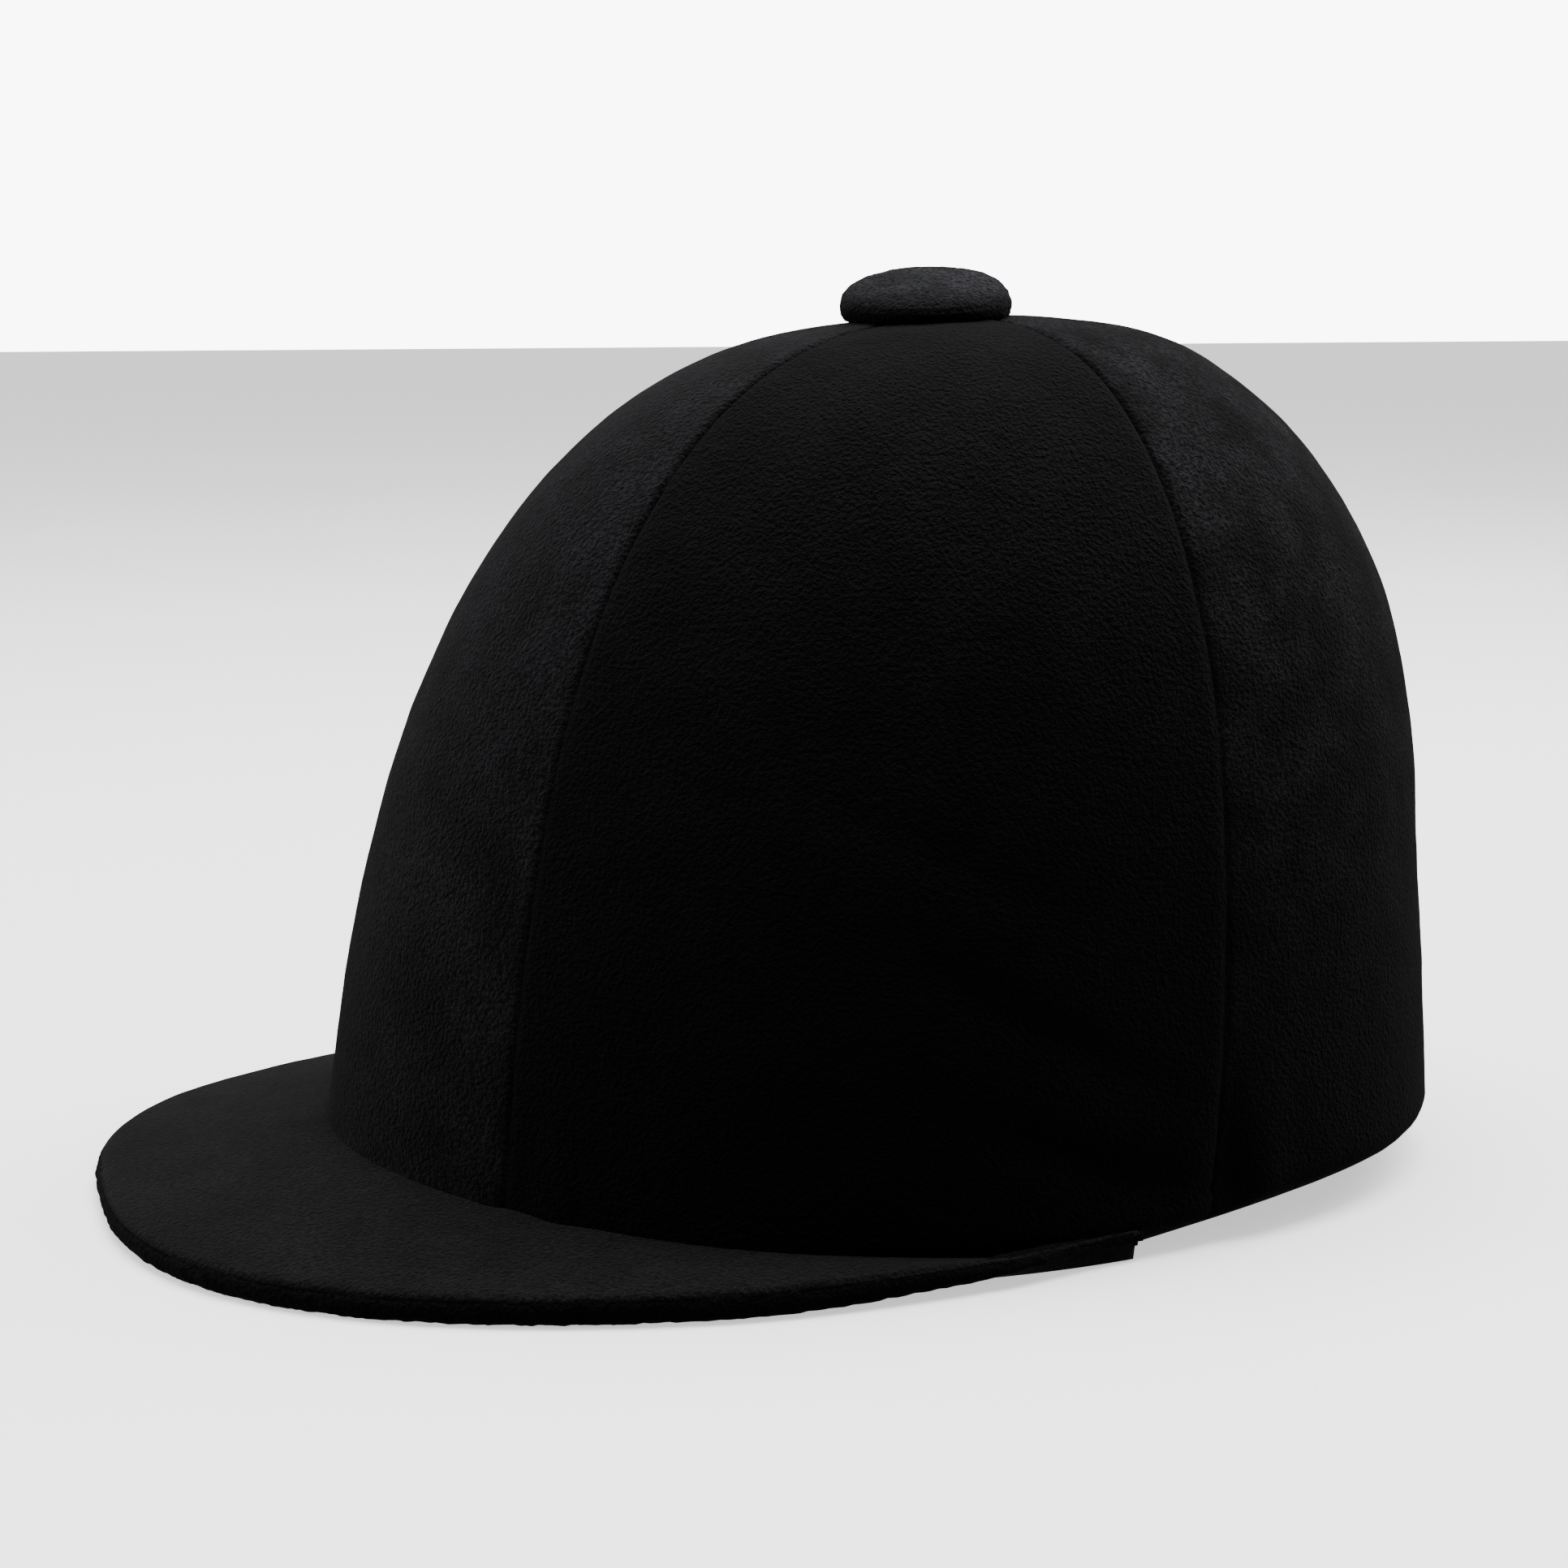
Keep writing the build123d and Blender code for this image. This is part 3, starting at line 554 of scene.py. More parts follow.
class HAT_OT_crown_panels(bpy.types.Operator):
    """Five velvet panels sewn together over the crown"""

    bl_idname = "hat.crown_panels"
    bl_label = "Crown panels"

    def execute(self, context):
        sizes = context.scene.hat_sizes
        # Each panel takes its own velvet: the front painted lighter and the sides darker, partly for the nap
        # and partly as painted light.
        panels = (
            ("front", "front", -FRONT_SEAM, FRONT_SEAM),
            ("left", "side", FRONT_SEAM, REAR_SEAM),
            ("right", "side", -REAR_SEAM, -FRONT_SEAM),
            ("rear_left", "rear", REAR_SEAM, 180.0),
            ("rear_right", "rear", -180.0, -REAR_SEAM),
        )
        section = cover_section(sizes.mesh_step)
        for name, finish, first, last in panels:
            arc = radians(last - first)
            steps = round(arc * CROWN_HALF_WIDTH * MEAN_STRETCH / sizes.mesh_step)
            bm = turned(section, radians(first), arc, steps)
            for v in bm.verts:
                turn, radius, z = polar(v)
                if abs(degrees(turn)) > 179.999:
                    turn = radians(180 if first > 0 else -180)
                shown = seam_turn(turn, z)
                # The turned-in edge stays under the helmet where the wall stands off it.
                outer = ease((radius - CROWN_HALF_WIDTH + 16 * MM) / (13 * MM)) if z < RIM_ROUND else 1.0
                point = cover_point(shown, radius, z)
                point.z += rim_rise(shown) * max(0.0, 1 - z / LIFT_HEIGHT)
                level = Vector((FRONT_STRETCH * sin(shown), -cos(shown), 0)).normalized()
                point += level * rear_flare(shown, z) * outer
                push = velvet_relief(turn, radius, z, sizes) * ease((z - 2 * MM) / (8 * MM))
                push += cloth_noise(point) * ease(z / (6 * MM))
                v.co = point + crown_outward(shown, radius, z) * push
            face_outwards(bm)
            node = f"cover_{name}_panel"
            piece(name + "_velvet", bm, finishes()[finish], "cover", "velvet", node, thickness=sizes.velvet)
        return {"FINISHED"}


class HAT_OT_lining(bpy.types.Operator):
    """Satin lining inside the velvet"""

    bl_idname = "hat.lining"
    bl_label = "Lining"

    def execute(self, context):
        sizes = context.scene.hat_sizes
        depth = sizes.velvet + 0.15 * MM
        section = dome_curve(depth, depth, RIM_ROUND, 2 * sizes.mesh_step)
        bm = turned(section, 0.0, 2 * pi, 150)
        for v in bm.verts:
            turn, radius, z = polar(v)
            point = cover_point(turn, radius, z)
            v.co = point - crown_outward(turn, radius, z) * (abs(cloth_noise(point)) * 0.5)
        face_outwards(bm)
        satin = finishes()["lining"]
        piece("lining_satin", bm, satin, "cover", "lining_cloth", "cover_lining", thickness=sizes.lining)
        return {"FINISHED"}


STITCH_SIZE = Matrix.Diagonal((1.25 * MM, 0.32 * MM, 0.28 * MM, 1.0))


def stitches(name, places, body, slot, *nodes):
    """A run of stitches: each is a short rounded bar of thread, placed along and out."""
    bm = bmesh.new()
    for place, along, out in places:
        along = along.normalized()
        across = out.cross(along).normalized()
        turn = Matrix((along, across, out.normalized())).transposed().to_4x4()
        where = Matrix.Translation(place) @ turn @ STITCH_SIZE
        bmesh.ops.create_icosphere(bm, subdivisions=1, radius=1.0, matrix=where)
    return piece(name, bm, finishes()["thread"], body, slot, *nodes)


class HAT_OT_hem(bpy.types.Operator):
    """Turned-in hem: its line of stitches, the tape casing and the elastic in it"""

    bl_idname = "hat.hem"
    bl_label = "Hem"

    def execute(self, context):
        sizes = context.scene.hat_sizes
        stitch_inset, stitch_height = 13.0 * MM, 0.42 * MM
        radius = CROWN_HALF_WIDTH - stitch_inset
        count = round(2 * pi * radius * MEAN_STRETCH / sizes.stitch)
        places = []
        for k in range(count):
            turn = 2 * pi * k / count - pi
            place = cover_point(turn, radius, stitch_height)
            ahead = cover_point(turn + 0.01, radius, stitch_height)
            places.append((place + Vector((0, 0, rim_rise(turn))), ahead - place, Vector((0, 0, -1))))
        stitches("hem_stitches", places, "cover", "velvet", "hem_fold")

        low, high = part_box("hem_casing")
        outer, bottom = high.x - 0.2 * MM, 0.4 * MM
        width, height = 5.3 * MM, high.z - low.z - 0.4 * MM
        middle = (outer - width / 2, bottom + height / 2)
        section = ring_section(middle, width / 2, height / 2, 20, 0.6)
        bm = turned(section, 0.0, 2 * pi, 300, closed=True)
        layer = bm.loops.layers.uv.new("UVMap")
        for v in bm.verts:
            turn, radius, z = polar(v)
            # The elastic draws the tape into small gathers.
            gather = 0.35 * MM * sin(turn * 96) * ease((outer - radius) / (3 * MM))
            v.co = helmet_point(turn, radius, z + (max(0.0, gather) if z > height / 2 else 0.0))
            # Where the rim is lifted, the tape is flattened against the foam above it.
            lift = rim_rise(turn)
            v.co.z = bottom + (v.co.z - bottom) * (1 - lift / (16 * MM)) + lift
        for face in bm.faces:
            for loop in face.loops:
                co = loop.vert.co
                loop[layer].uv = (atan2(co.x, CENTRE_Y - co.y) * 0.1, co.z)
        agree(bm)
        piece("hem_tape", bm, finishes()["tape"], "cover", "casing_cloth", "hem_casing")

        low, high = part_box("hem_elastic")
        middle = (high.x - 1.6 * MM, (low.z + high.z) / 2)
        section = ring_section(middle, 1.5 * MM, 1.0 * MM, 12)
        bm = turned(section, 0.0, 2 * pi, 200, closed=True)
        for v in bm.verts:
            turn, radius, z = polar(v)
            v.co = helmet_point(turn, radius, z + rim_rise(turn))
        agree(bm)
        piece("hem_cord", bm, finishes()["elastic"], "cover", "elastic", "hem_elastic")
        return {"FINISHED"}


# ---- Peak ----
PEAK_LOW, PEAK_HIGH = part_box("peak_edge_roll")
PEAK_SQUARENESS = 2.564
PEAK_THICKNESS = 5.9 * MM
PEAK_END_THICKNESS = 2.6 * MM
ROLL_HALF = 3.0 * MM
PEAK_END = 104.0  # where the peak runs out along the rim, in degrees from the front
PEAK_TAPER = 74.0  # where it starts to narrow towards that end


def peak_taper(turn):
    """How far the peak has narrowed, from 0 in front to 1 at its end."""
    return ease((abs(degrees(turn)) - PEAK_TAPER) / (PEAK_END - PEAK_TAPER))


def peak_edge(turn):
    """Outline of the peak at its underside."""
    side, ahead = sin(turn), cos(turn)
    # The velvet roll stands a little past the frame's.
    reach = 1.4 * MM
    wide = copysign(PEAK_HIGH.x + reach, side)
    if ahead > 0:
        edge = Vector((
            wide * abs(side) ** (2 / PEAK_SQUARENESS),
            HELMET_Y - (HELMET_Y - PEAK_LOW.y + reach) * ahead ** (2 / PEAK_SQUARENESS),
            (0.9 * side**6 + 0.4 * ahead**4) * MM,
        ))
    else:
        edge = Vector((wide, HELMET_Y - 140 * MM * ahead, 0.9 * MM))
    # Behind the temples the peak runs out into the rim.
    crown = cover_point(turn, CROWN_HALF_WIDTH + 1.2 * MM, 0.0)
    crown.z = 4.6 * MM
    return edge.lerp(crown, peak_taper(turn))


def peak_root(turn, top):
    """Where the peak meets the crown."""
    ahead = max(cos(turn), 0.0)
    z = (6.2 + 9.5 * ahead**1.5) * MM
    z -= 2.2 * MM * peak_taper(turn)
    if not top:
        z = max(z - 6.3 * MM, 0.5 * MM)
    return cover_point(turn, CROWN_HALF_WIDTH - 0.4 * MM, z)


def peak_depth(turn):
    """Thickness of the peak at its edge."""
    share = peak_taper(turn)
    return PEAK_THICKNESS * (1 - share) + PEAK_END_THICKNESS * share


def peak_sheet(top, end=PEAK_END):
    """Upper or lower cloth of the peak, from the crown out to the rolled edge."""
    # A flat ring is spun first, and each of its points is then moved to its place.
    count, inner_ring, ring_width = 34, 0.1, 0.1
    end = radians(end)
    section = [(inner_ring + ring_width * k / count, 0.0) for k in range(count + 1)]
    bm = turned(section, -end, 2 * end, 290)
    for v in bm.verts:
        turn, radius, _ = polar(v)
        share = (radius - inner_ring) / ring_width
        root, edge = peak_root(turn, top), peak_edge(turn)
        level = Vector((edge.x - root.x, edge.y - root.y, 0))
        # The upper cloth reaches well over the roll, and the lower one stops short of it.
        short = min(ROLL_HALF * (0.3 if top else 1.15), level.length * 0.6)
        inner = edge - level.normalized() * short
        height = peak_depth(turn) + 0.3 * MM if top else 0.25 * MM
        goal = Vector((inner.x, inner.y, edge.z + height))
        point = root.lerp(goal, share)
        if top:
            # The cloth lies flat in the crook at the crown and turns down over the edge.
            arch = 0.7 * MM * sin(share * pi)
            drop = 1.05 * MM * bell((share - 1) * level.length, 1.2 * MM)
            point.z += min(1.0, level.length / (20 * MM)) * (arch - drop)
            point.z += cloth_noise(point) * 0.8 * ease(share / 0.15)
        v.co = point
    agree(bm)
    up = 1 if top else -1
    if sum(f.normal.z for f in bm.faces) * up < 0:
        bmesh.ops.reverse_faces(bm, faces=bm.faces)
    return bm


def roll_place(turn):
    """Middle of the rolled edge, the level direction out of it, and its half width and height."""
    root, edge = peak_root(turn, True), peak_edge(turn)
    out = Vector((edge.x - root.x, edge.y - root.y, 0))
    half = min(ROLL_HALF, out.length * 0.6)
    out.normalize()
    depth = peak_depth(turn)
    return edge - out * half + Vector((0, 0, depth / 2)), out, half, depth / 2


class HAT_OT_peak(bpy.types.Operator):
    """Peak: velvet above and below, over a stiffener, with a rolled velvet edge"""

    bl_idname = "hat.peak"
    bl_label = "Peak"

    def execute(self, context):
        board_height, cloth = 1.6 * MM, 0.8 * MM
        board = peak_sheet(False, PEAK_TAPER)
        for v in board.verts:
            v.co.z += board_height
        for name, bm, finish, slot, node, thickness in (
            ("peak_velvet", peak_sheet(True), "peak", "velvet", "peak_top_velvet", 0.9 * MM),
            ("peak_board", board, "board", "stiffener_board", "peak_stiffener", cloth),
            ("peak_under", peak_sheet(False), "under", "peak_under_velvet", "peak_under_lining", cloth),
        ):
            piece(name, bm, finishes()[finish], "cover", slot, node, thickness=thickness)
        # A plain ring is spun first, and its points are then moved along the edge of the peak.
        ring, tube = 0.1, 0.01
        section = ring_section((ring, 0.0), tube, tube, 26)
        end = radians(PEAK_END + 0.6)
        bm = turned(section, -end, 2 * end, 440, closed=True)
        bmesh.ops.holes_fill(bm, edges=[e for e in bm.edges if e.is_boundary])
        for v in bm.verts:
            turn, radius, z = polar(v)
            middle, out, half, high = roll_place(turn)
            across, up = (radius - ring) / tube, z / tube
            point = middle + out * half * across + Vector((0, 0, up * high))
            shag = 0.3 * noise.noise(point / (1.6 * MM)) + 0.2 * noise.noise(point / (5 * MM))
            v.co = point + (out * across + Vector((0, 0, up))) * shag * MM
            v.co.z = max(v.co.z, 0.3 * MM)
        agree(bm)
        # The roll's velvet is painted nearly black as painted shade.
        piece("peak_roll", bm, finishes()["edge"], "cover", "edge_velvet", "peak_edge_roll")
        return {"FINISHED"}


# Section of the covered button: share of its radius, and of its height.
BUTTON_SECTION = (
    (0.0, 1.0), (0.3, 1.0), (0.55, 0.99), (0.76, 0.96), (0.89, 0.88), (0.965, 0.74), (1.0, 0.52),
    (0.985, 0.3), (0.93, 0.12), (0.84, 0.02), (0.7, 0.0),
)


class HAT_OT_button(bpy.types.Operator):
    """Covered button on top of the crown"""

    bl_idname = "hat.button"
    bl_label = "Button"

    def execute(self, context):
        low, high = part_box("button_velvet")
        centre = Vector(((low.x + high.x) / 2, (low.y + high.y) / 2, 0))
        radius = (high.x - low.x) / 2
        seat = low.z
        depth, ahead_slope, side_slope, swell = 8.4 * MM, 0.10, 0.20, 2.0 * MM

        def sloped(r, turn):
            """Height of the sloping top above its middle."""
            return -ahead_slope * r * cos(turn) - side_slope * r * sin(turn)

        # The section is drawn at an even height, and then fitted between the slopes.
        even = 10 * MM
        section = [Vector((radius * share, rise * even)) for share, rise in BUTTON_SECTION]
        bm = turned([tuple(p) for p in even_spacing(section, 0.55 * MM)], 0.0, 2 * pi, 200)
        for v in bm.verts:
            turn, r, z = polar(v)
            rise = z / even
            y = -r * cos(turn)
            top = seat + depth + sloped(r, turn) + swell * (1 - (r / radius) ** 2)
            # The cloth under the button follows the crown down on all sides.
            foot = seat - 1.9 * MM * (r / radius) ** 2
            point = centre + Vector((r * sin(turn), y, foot + (top - foot) * rise))
            level = min(1, r / radius)
            out = Vector((sin(turn) * level, -cos(turn) * level, (rise - 0.5) * 1.2))
            pile = 0.2 * noise.noise(point / (1.1 * MM)) + 0.3 * noise.noise(point / (6 * MM))
            pile += 0.5 * noise.noise(point / (13 * MM))
            v.co = point + out * pile * MM
        face_outwards(bm, centre + Vector((0, 0, seat + 4 * MM)))
        # Painted shade darkens this velvet down the button's sides, below its lighter top.
        cloth = finishes()["button"]
        piece("button_cloth", bm, cloth, "cover", "button_velvet", "button_velvet", thickness=1.2 * MM)
        # The former inside follows the same slopes.
        rim, base = radius - 3.0 * MM, seat + 0.6 * MM
        section = [(0.0, 1.0), (rim * 0.6, 1.0), (rim - 1 * MM, 0.98), (rim, 0.8), (rim, 0.0), (0.0, 0.0)]
        bm = turned(section, 0.0, 2 * pi, 72)
        for v in bm.verts:
            turn, r, rise = polar(v)
            top = depth - 3.0 * MM + sloped(r, turn)
            v.co = centre + Vector((r * sin(turn), -r * cos(turn), base + top * rise))
        agree(bm)
        piece("button_former", bm, finishes()["former"], "cover", "button_former", "button_core")
        return {"FINISHED"}


# ---- Helmet ----
class HAT_OT_edge_trim(bpy.types.Operator):
    """Rubber trim round the shell's lower edge, which follows the lifted rim behind"""

    bl_idname = "hat.edge_trim"
    bl_label = "Edge trim"

    def execute(self, context):
        low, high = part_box("shell_edge_trim")
        outer, width = high.x - 0.1 * MM, 10.6 * MM
        middle = (outer - width / 2, (low.z + high.z) / 2)
        section = ring_section(middle, width / 2, (high.z - low.z) / 2 - 0.1 * MM, 24, 0.7)
        bm = turned(section, 0.0, 2 * pi, 300, closed=True)
        for v in bm.verts:
            turn, radius, z = polar(v)
            rise = rim_rise(turn)
            z = low.z + (z - low.z) * (1 - rise / (18 * MM)) + rise * 0.9
            v.co = helmet_point(turn, radius, z)
        agree(bm)
        piece("edge_trim", bm, finishes()["rubber"], "helmet", "edge_rubber", "shell_edge_trim")
        return {"FINISHED"}


class HAT_OT_headband(bpy.types.Operator):
    """Padded headband, sewn in upright channels"""

    bl_idname = "hat.headband"
    bl_label = "Headband"

    def execute(self, context):
        sizes = context.scene.hat_sizes
        depth = CROWN_HALF_WIDTH - BAND_HIGH.x + 0.15 * MM
        thick = 3.2 * MM
        bottom, top = 0.9 * MM, BAND_HIGH.z - 0.2 * MM
        section = []
        for k in range(22):
            z = bottom + (top - bottom) * k / 21
            section.append((crown_radius(z, depth), z))
        middle = crown_radius(top, depth) - thick / 2
        for k in range(1, 6):
            a = pi * k / 6
            section.append((middle + thick / 2 * cos(a), top + thick / 3 * sin(a)))
        for k in range(22):
            z = top - (top - bottom) * k / 21
            section.append((crown_radius(z, depth) - thick, z))
        steps = sizes.channels * 14
        bm = turned(section, 0.0, 2 * pi, steps, closed=True)
        for v in bm.verts:
            turn, radius, z = polar(v)
            inner = crown_radius(z, depth) - radius > thick * 0.5
            swell = abs(sin(turn * sizes.channels / 2)) ** 0.5
            edge = ease((z - bottom) / (5 * MM)) * ease((top - z) / (5 * MM))
            # A sewn line runs round the band under its upper binding.
            bound = bell(z - (top - 7 * MM), 0.9 * MM)
            if inner:
                radius -= (1.1 * MM * swell - 0.9 * MM) * edge - 0.7 * MM * bound
            v.co = helmet_point(turn, radius, z)
            v.co.z += rim_rise(turn) * max(0.0, 1 - z / PAD_LIFT_HEIGHT)
        agree(bm)
        band = piece("headband_pad", bm, finishes()["knit"], "helmet", "comfort_cloth", "headband")
        return {"FINISHED"}


class HAT_OT_crown_pad(bpy.types.Operator):
    """Quilted pad inside the top of the helmet"""

    bl_idname = "hat.crown_pad"
    bl_label = "Crown pad"

    def execute(self, context):
        low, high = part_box("crown_pad")
        depth_side = CROWN_HALF_WIDTH - BAND_HIGH.x + 0.3 * MM
        depth_top = CROWN_HEIGHT - high.z + 0.3 * MM
        bottom = low.z + 0.4 * MM
        outer = dome_curve(depth_side, depth_top, bottom, 2.6 * MM)
        inner = dome_curve(depth_side + 3.4 * MM, depth_top + 10.5 * MM, bottom, 2.6 * MM)
        section = [tuple(p) for p in outer] + [tuple(p) for p in reversed(inner)]
        bm = turned(section, 0.0, 2 * pi, 192)
        bmesh.ops.bridge_loops(bm, edges=[e for e in bm.edges if e.is_boundary])
        for v in bm.verts:
            turn, radius, z = polar(v)
            if radius < crown_radius(z, depth_side, depth_top) - 1.5 * MM:
                spread = min(1.0, radius / (30 * MM))
                swell = abs(sin(turn * 4)) ** 0.45 * spread
                ring = 1 - bell(radius - 30 * MM, 2.2 * MM)
                z -= (1.6 * MM * swell * ring - 0.6 * MM) * ease((z - bottom) / (8 * MM))
            v.co = helmet_point(turn, radius, z)
        agree(bm)
        pad = piece("crown_cushion", bm, finishes()["knit"], "helmet", "comfort_cloth", "crown_pad")
        return {"FINISHED"}


def rounded_path(points, corner, step):
    """A line through points with its corners rounded, at even spacing."""
    points = [Vector(p) for p in points]
    line = [points[0]]
    for before, here, after in zip(points, points[1:], points[2:]):
        cut = min(corner, (here - before).length / 2, (after - here).length / 2)
        start = here + (before - here).normalized() * cut
        end = here + (after - here).normalized() * cut
        for k in range(7):
            t = k / 6
            line.append(start.lerp(here, t).lerp(here.lerp(end, t), t))
    line.append(points[-1])
    return even_spacing(line, step)


STRAP_WIDTH = 18 * MM


def webbing_strap(name, points, widths, width, thickness, node, corner=5 * MM, body="helmet"):
    """A flat woven strap along a path. Its width lies along one direction for each end."""
    path = rounded_path(points, corner, 1.6 * MM)
    count = len(path) - 1
    bm = bmesh.new()
    layer = bm.loops.layers.uv.new("UVMap")
    bmesh.ops.create_grid(bm, x_segments=count, y_segments=8, size=1.0, calc_uvs=True)
    bm.verts.ensure_lookup_table()
    length = sum((b - a).length for a, b in zip(path, path[1:]))
    for face in bm.faces:
        for loop in face.loops:
            u, w = loop[layer].uv
            loop[layer].uv = (u * length, w * width)
    for v in bm.verts:
        place = (v.co.x + 1) / 2 * count
        index = min(int(place + 1e-6), count - 1)
        spot = path[index].lerp(path[index + 1], place - index)
        share = place / count
        across = Vector(widths[0]).lerp(Vector(widths[-1]), ease((share - 0.25) / 0.7)).normalized()
        along = (path[index + 1] - path[index]).normalized()
        across = (across - along * across.dot(along)).normalized()
        v.co = spot + across * (v.co.y * width / 2)
        v.co.z += rim_rise(atan2(v.co.x, HELMET_Y - v.co.y)) * max(0.0, 1 - v.co.z / PAD_LIFT_HEIGHT)
    agree(bm)
    strap = piece(name, bm, finishes()["webbing"], body, "webbing", node, thickness=thickness, offset=0.0)
    rounding = strap.modifiers.new("selvedge", "BEVEL")
    rounding.width = thickness * 0.3
    rounding.segments = 2
    rounding.limit_method = "ANGLE"
    return strap


STRAP_ANGLES = {"left_front": 52.0, "left_rear": 128.0, "right_rear": -128.0, "right_front": -52.0}


class HAT_OT_harness(bpy.types.Operator):
    """Webbing straps from the rivets, under the rim and up to the dividers, and the nape strap"""

    bl_idname = "hat.harness"
    bl_label = "Harness straps"

    def execute(self, context):
        sizes = context.scene.hat_sizes
        band_depth = CROWN_HALF_WIDTH - BAND_HIGH.x
        behind_shell, inside_band = 7.2 * MM, band_depth + 5.4 * MM
        for name, angle in STRAP_ANGLES.items():
            turn = radians(angle)
            side = 1 if angle > 0 else -1
            low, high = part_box(("left" if side > 0 else "right") + "_strap_divider")
            ahead = -1 if abs(angle) < 90 else 1
            rivet_height, turn_height, band_height = 38 * MM, 6.4 * MM, 24 * MM
            route = [
                helmet_point(turn, crown_radius(z, depth), z)
                for z, depth in (
                    (rivet_height, behind_shell), (turn_height, behind_shell),
                    (turn_height, inside_band), (band_height, inside_band),
                )
            ]
            middle = (low + high) / 2
            route.append(Vector((middle.x, middle.y + ahead * 9.2 * MM, low.z + 2 * MM)))
            out = Vector((FRAME_STRETCH * sin(turn), -cos(turn), 0)).normalized()
            along = Vector((-out.y, out.x, 0)) * side
            widths = [along, Vector((0, 1, 0))]
            webbing_strap(name + "_webbing", route, widths, STRAP_WIDTH, sizes.strap, name + "_strap")
        low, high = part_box("nape_strap")
        middle = (low.z + high.z) / 2
        first = 136.5  # where the nape strap starts, in degrees from the front
        radius = crown_radius(middle, inside_band)
        route = [
            helmet_point(radians(first + (360 - 2 * first) * k / 24), radius, middle) for k in range(25)
        ]
        widths = [(0, 0, 1), (0, 0, 1)]
        webbing_strap("nape_webbing", route, widths, high.z - low.z, sizes.strap, "nape_strap")
        return {"FINISHED"}


class HAT_OT_chin_strap(bpy.types.Operator):
    """Chin strap, tucked up across the inside of the crown to its buckle"""

    bl_idname = "hat.chin_strap"
    bl_label = "Chin strap"

    def execute(self, context):
        sizes = context.scene.hat_sizes
        buckle_low, buckle_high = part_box("buckle_female")
        level = (buckle_low.z + buckle_high.z) / 2
        y = (buckle_low.y + buckle_high.y) / 2
        ends = (
            (1, "left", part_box("left_chin_strap")[0].x),
            (-1, "right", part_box("right_chin_strap")[1].x),
        )
        for side, name, end in ends:
            low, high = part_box(name + "_strap_divider")
            x = abs(low.x + high.x) / 2
            route = [
                Vector((side * x, y, high.z - 2 * MM)),
                Vector((side * (x - 3 * MM), y, high.z + 14 * MM)),
                Vector((side * (x - 15 * MM), y, level - 16 * MM)),
                Vector((side * 41 * MM, y, level)),
                Vector((end - side * 1.5 * MM, y, level)),
            ]
            strap = webbing_strap(
                name + "_chin_webbing", route, [(0, 1, 0), (0, 1, 0)], STRAP_WIDTH, sizes.strap,
                name + "_chin_strap", corner=3.5 * MM, body=None if side > 0 else "helmet",
            )
            if side > 0:
                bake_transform(strap)
        return {"FINISHED"}


class HAT_OT_dividers(bpy.types.Operator):
    """Stitched leather dividers that join the straps above each ear"""

    bl_idname = "hat.dividers"
    bl_label = "Strap dividers"

    def execute(self, context):
        for name in ("left", "right"):
            low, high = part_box(name + "_strap_divider")
            centre, size = (low + high) / 2, high - low
            bm = bmesh.new()
            where = Matrix.Translation(centre) @ Matrix.Diagonal((*size, 1.0))
            bmesh.ops.create_cube(bm, size=1.0, matrix=where)
            bevel = dict(profile=0.5, affect="EDGES", material=-1)
            corners = [e for e in bm.edges if abs((e.verts[0].co - e.verts[1].co).normalized().x) > 0.9]
            bmesh.ops.bevel(bm, geom=corners, offset=5 * MM, segments=6, **bevel)
            faces = [f for f in bm.faces if abs(f.normal.x) > 0.9]
            for inset, push in ((1.6 * MM, 0.0), (0.8 * MM, 0.45 * MM)):
                bmesh.ops.inset_region(bm, faces=faces, thickness=inset, depth=-push)
            rims = [e for e in bm.edges if e.calc_face_angle(0) > 0.6]
            bmesh.ops.bevel(bm, geom=rims, offset=0.7 * MM, segments=3, **bevel)
            agree(bm)
            piece(name + "_leather", bm, finishes()["leather"], "helmet", "divider", name + "_strap_divider")
            side = 1 if name == "left" else -1
            inner = low.x if side > 0 else high.x
            places = []
            for row in (-1, 1):
                for k in range(-4, 5):
                    place = Vector((inner, centre.y + k * 3.4 * MM, centre.z + row * 5.6 * MM))
                    places.append((place, Vector((0, 1, 0)), Vector((-side, 0, 0))))
            stitches(name + "_divider_stitches", places, "helmet", "divider")
        return {"FINISHED"}


class HAT_OT_hard_parts(bpy.types.Operator):
    """Finishes of the moulded and metal parts"""

    bl_idname = "hat.hard_parts"
    bl_label = "Hard parts"

    def execute(self, context):
        given = {
            "shell": "shell", "shock_liner": "foam", "rivets": "steel",
            "anchor_washers": "steel", "buckle_female": "acetal", "buckle_male": "acetal",
            "strap_slider": "acetal", "button_shank": "former",
        }
        for node, finish in given.items():
            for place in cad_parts[node].material_slots:
                place.material = finishes()[finish]
        return {"FINISHED"}


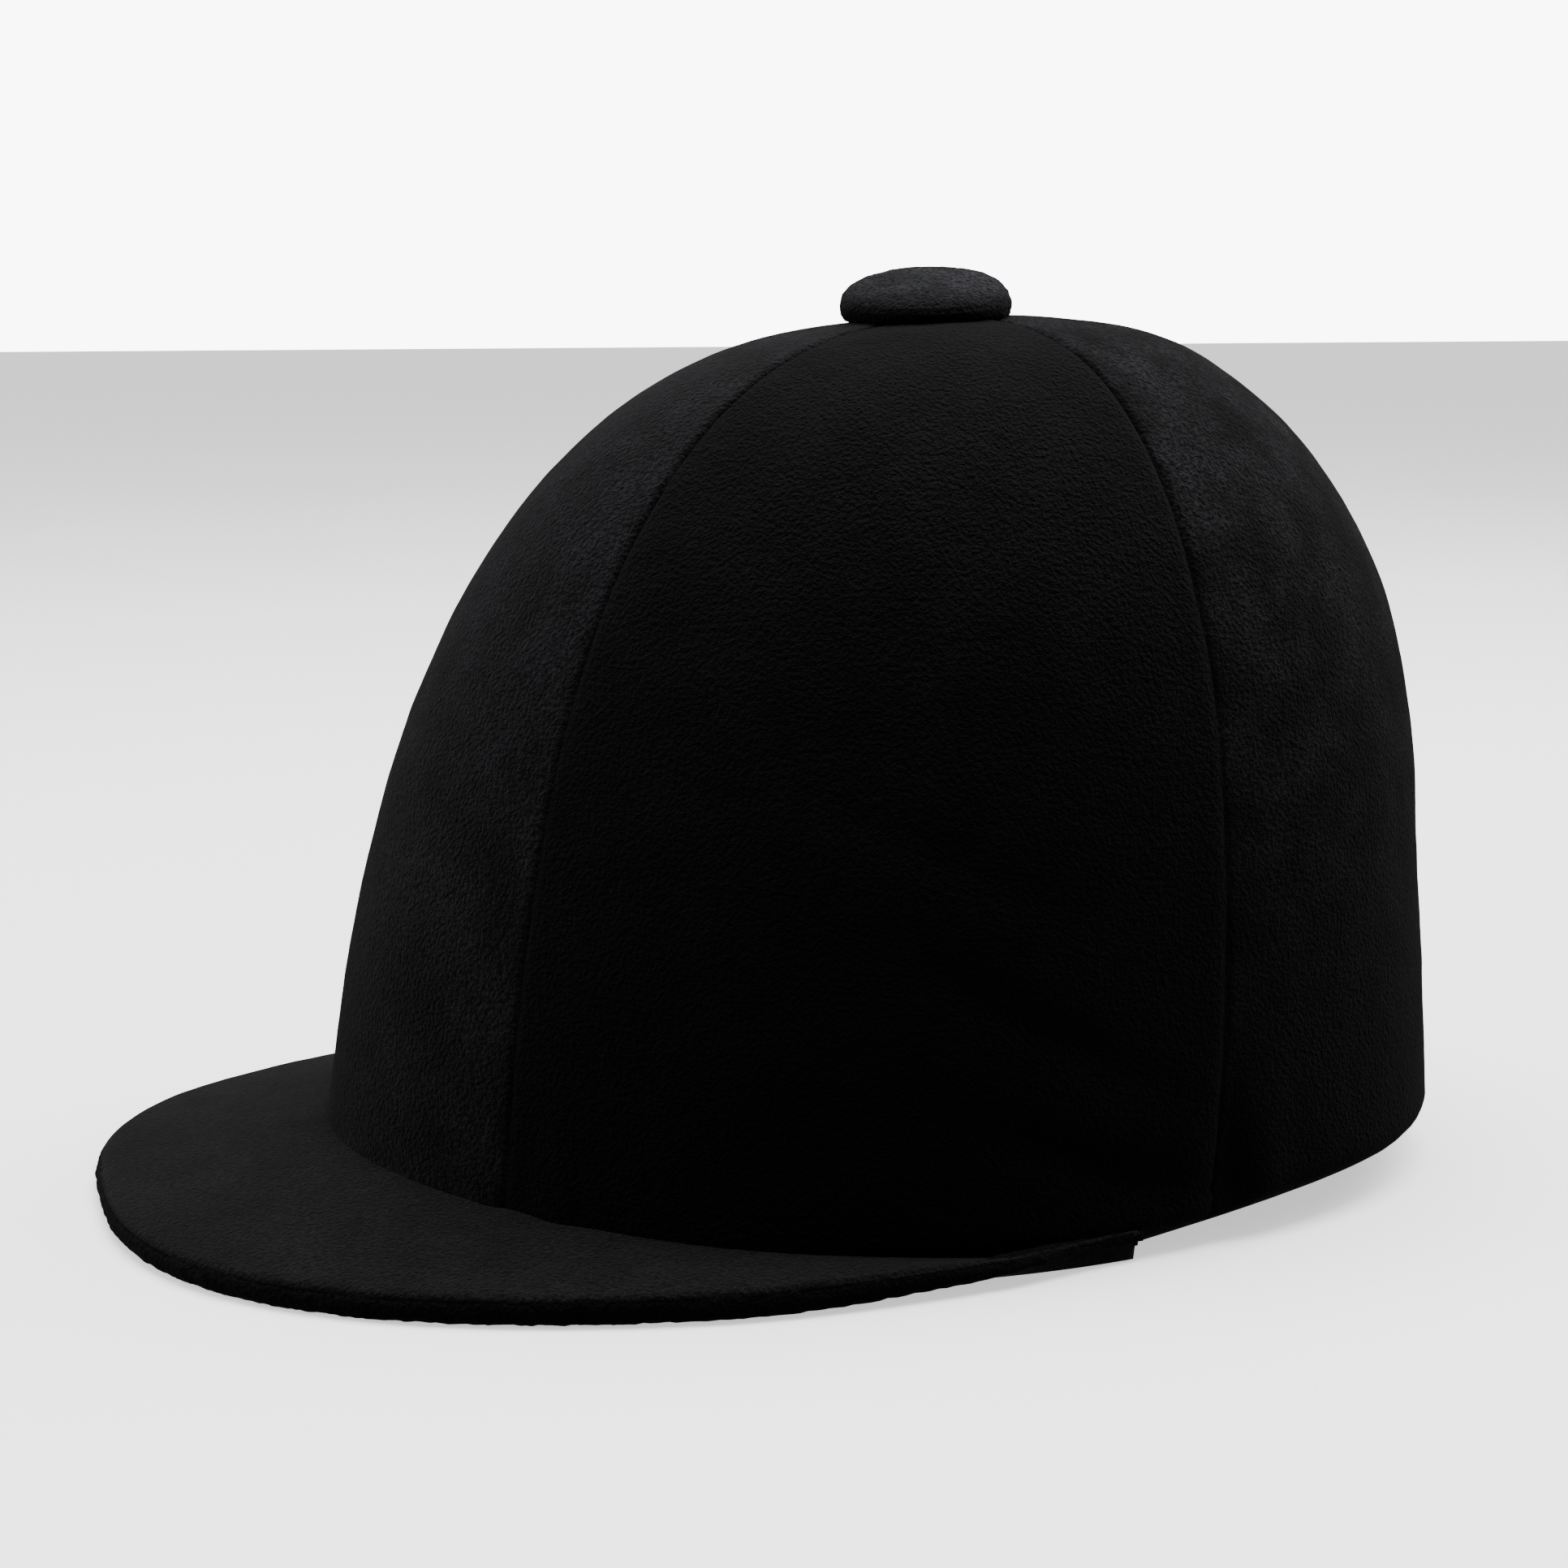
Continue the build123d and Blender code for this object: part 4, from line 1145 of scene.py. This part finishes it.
class HAT_OT_stage(bpy.types.Operator):
    """Pale floor, soft studio light and the camera"""

    bl_idname = "hat.stage"
    bl_label = "Floor, light and camera"

    def execute(self, context):
        floor_finish, shader, place = new_material("pale_floor", Roughness=0.6, Specular_IOR_Level=0.2)
        cloud = add_node(floor_finish, "TexNoise", Vector=place.outputs["Object"], Scale=per_mm(260.0))
        shade = shades(floor_finish, cloud.outputs["Fac"], "#F4F4F4", "#F8F8F8")
        link(floor_finish, shade, shader.inputs["Base Color"])
        # The floor glows a little, so that it stays as pale as the backdrop far away.
        shader.inputs["Emission Color"].default_value = linear("#FFFFFF")
        shader.inputs["Emission Strength"].default_value = 0.8
        bm = bmesh.new()
        bmesh.ops.create_grid(bm, x_segments=2, y_segments=2, size=8.0)
        mesh = bpy.data.meshes.new("floor")
        bm.to_mesh(mesh)
        bm.free()
        floor = bpy.data.objects.new("floor", mesh)
        mesh.materials.append(floor_finish)
        context.scene.collection.objects.link(floor)
        floor.visible_diffuse = False
        floor.visible_glossy = False

        world = bpy.data.worlds.new("studio")
        world.use_nodes = True
        # The backdrop is bright, and lights the hat only softly from the sides.
        tree = world.node_tree
        dome, backdrop = tree.nodes["Background"], tree.nodes.new("ShaderNodeBackground")
        for light, strength in ((dome, 0.45), (backdrop, 9.0)):
            light.inputs["Color"].default_value = linear("#FFFFFF")
            light.inputs["Strength"].default_value = strength
        sight, both = tree.nodes.new("ShaderNodeLightPath"), tree.nodes.new("ShaderNodeMixShader")
        tree.links.new(sight.outputs["Is Camera Ray"], both.inputs[0])
        tree.links.new(dome.outputs[0], both.inputs[1])
        tree.links.new(backdrop.outputs[0], both.inputs[2])
        tree.links.new(both.outputs[0], tree.nodes["World Output"].inputs["Surface"])
        context.scene.world = world

        azimuth, elevation, distance = radians(73.3), radians(9.53), 734.5 * MM
        back = Vector((sin(azimuth) * cos(elevation), -cos(azimuth) * cos(elevation), sin(elevation)))
        right = Vector((cos(azimuth), sin(azimuth), 0))
        target = Vector((0, 2.9 * MM, 92 * MM))
        camera = bpy.data.objects.new("camera", bpy.data.cameras.new("camera"))
        camera.data.lens = 69.9
        camera.data.sensor_width = 36.0
        camera.location = target + back * distance
        camera.rotation_euler = back.to_track_quat("Z", "Y").to_euler()
        context.scene.collection.objects.link(camera)
        context.scene.camera = camera

        for name, offset, size, power in (
            ("top_light", right * 0.1 - back * 0.1 + Vector((0, 0, 1.5)), 1.6, 62.0),
            ("front_light", right * -1.5 + back * 0.1 + Vector((0, 0, 0.7)), 1.0, 16.0),
            ("rear_light", right * 1.3 - back * 0.6 + Vector((0, 0, 1.4)), 1.0, 30.0),
        ):
            data = bpy.data.lights.new(name, "AREA")
            data.size = size
            data.energy = power
            lamp = bpy.data.objects.new(name, data)
            lamp.location = target + offset
            lamp.rotation_euler = offset.normalized().to_track_quat("Z", "Y").to_euler()
            context.scene.collection.objects.link(lamp)
        return {"FINISHED"}


PIECES = (
    HAT_OT_crown_panels, HAT_OT_lining, HAT_OT_hem, HAT_OT_peak, HAT_OT_button, HAT_OT_edge_trim,
    HAT_OT_headband, HAT_OT_crown_pad, HAT_OT_harness, HAT_OT_chin_strap, HAT_OT_dividers,
    HAT_OT_hard_parts, HAT_OT_stage,
)


class HAT_PT_panel(bpy.types.Panel):
    """Sizes and pieces of the hat"""

    bl_idname = "HAT_PT_panel"
    bl_label = "Riding Hat"
    bl_space_type = "VIEW_3D"
    bl_region_type = "UI"
    bl_category = "Riding Hat"

    def draw(self, context):
        sizes = context.scene.hat_sizes
        for name in HAT_PG_sizes.__annotations__:
            self.layout.prop(sizes, name)
        for operator in PIECES:
            self.layout.operator(operator.bl_idname)


CLASSES = (HAT_PG_sizes, *PIECES, HAT_PT_panel)


def register():
    for cls in CLASSES:
        bpy.utils.register_class(cls)
    bpy.types.Scene.hat_sizes = PointerProperty(type=HAT_PG_sizes)


def unregister():
    del bpy.types.Scene.hat_sizes
    for cls in reversed(CLASSES):
        bpy.utils.unregister_class(cls)


def main():
    register()
    for operator in PIECES:
        group, name = operator.bl_idname.split(".")
        getattr(getattr(bpy.ops, group), name)()


if __name__ == "__main__":
    main()
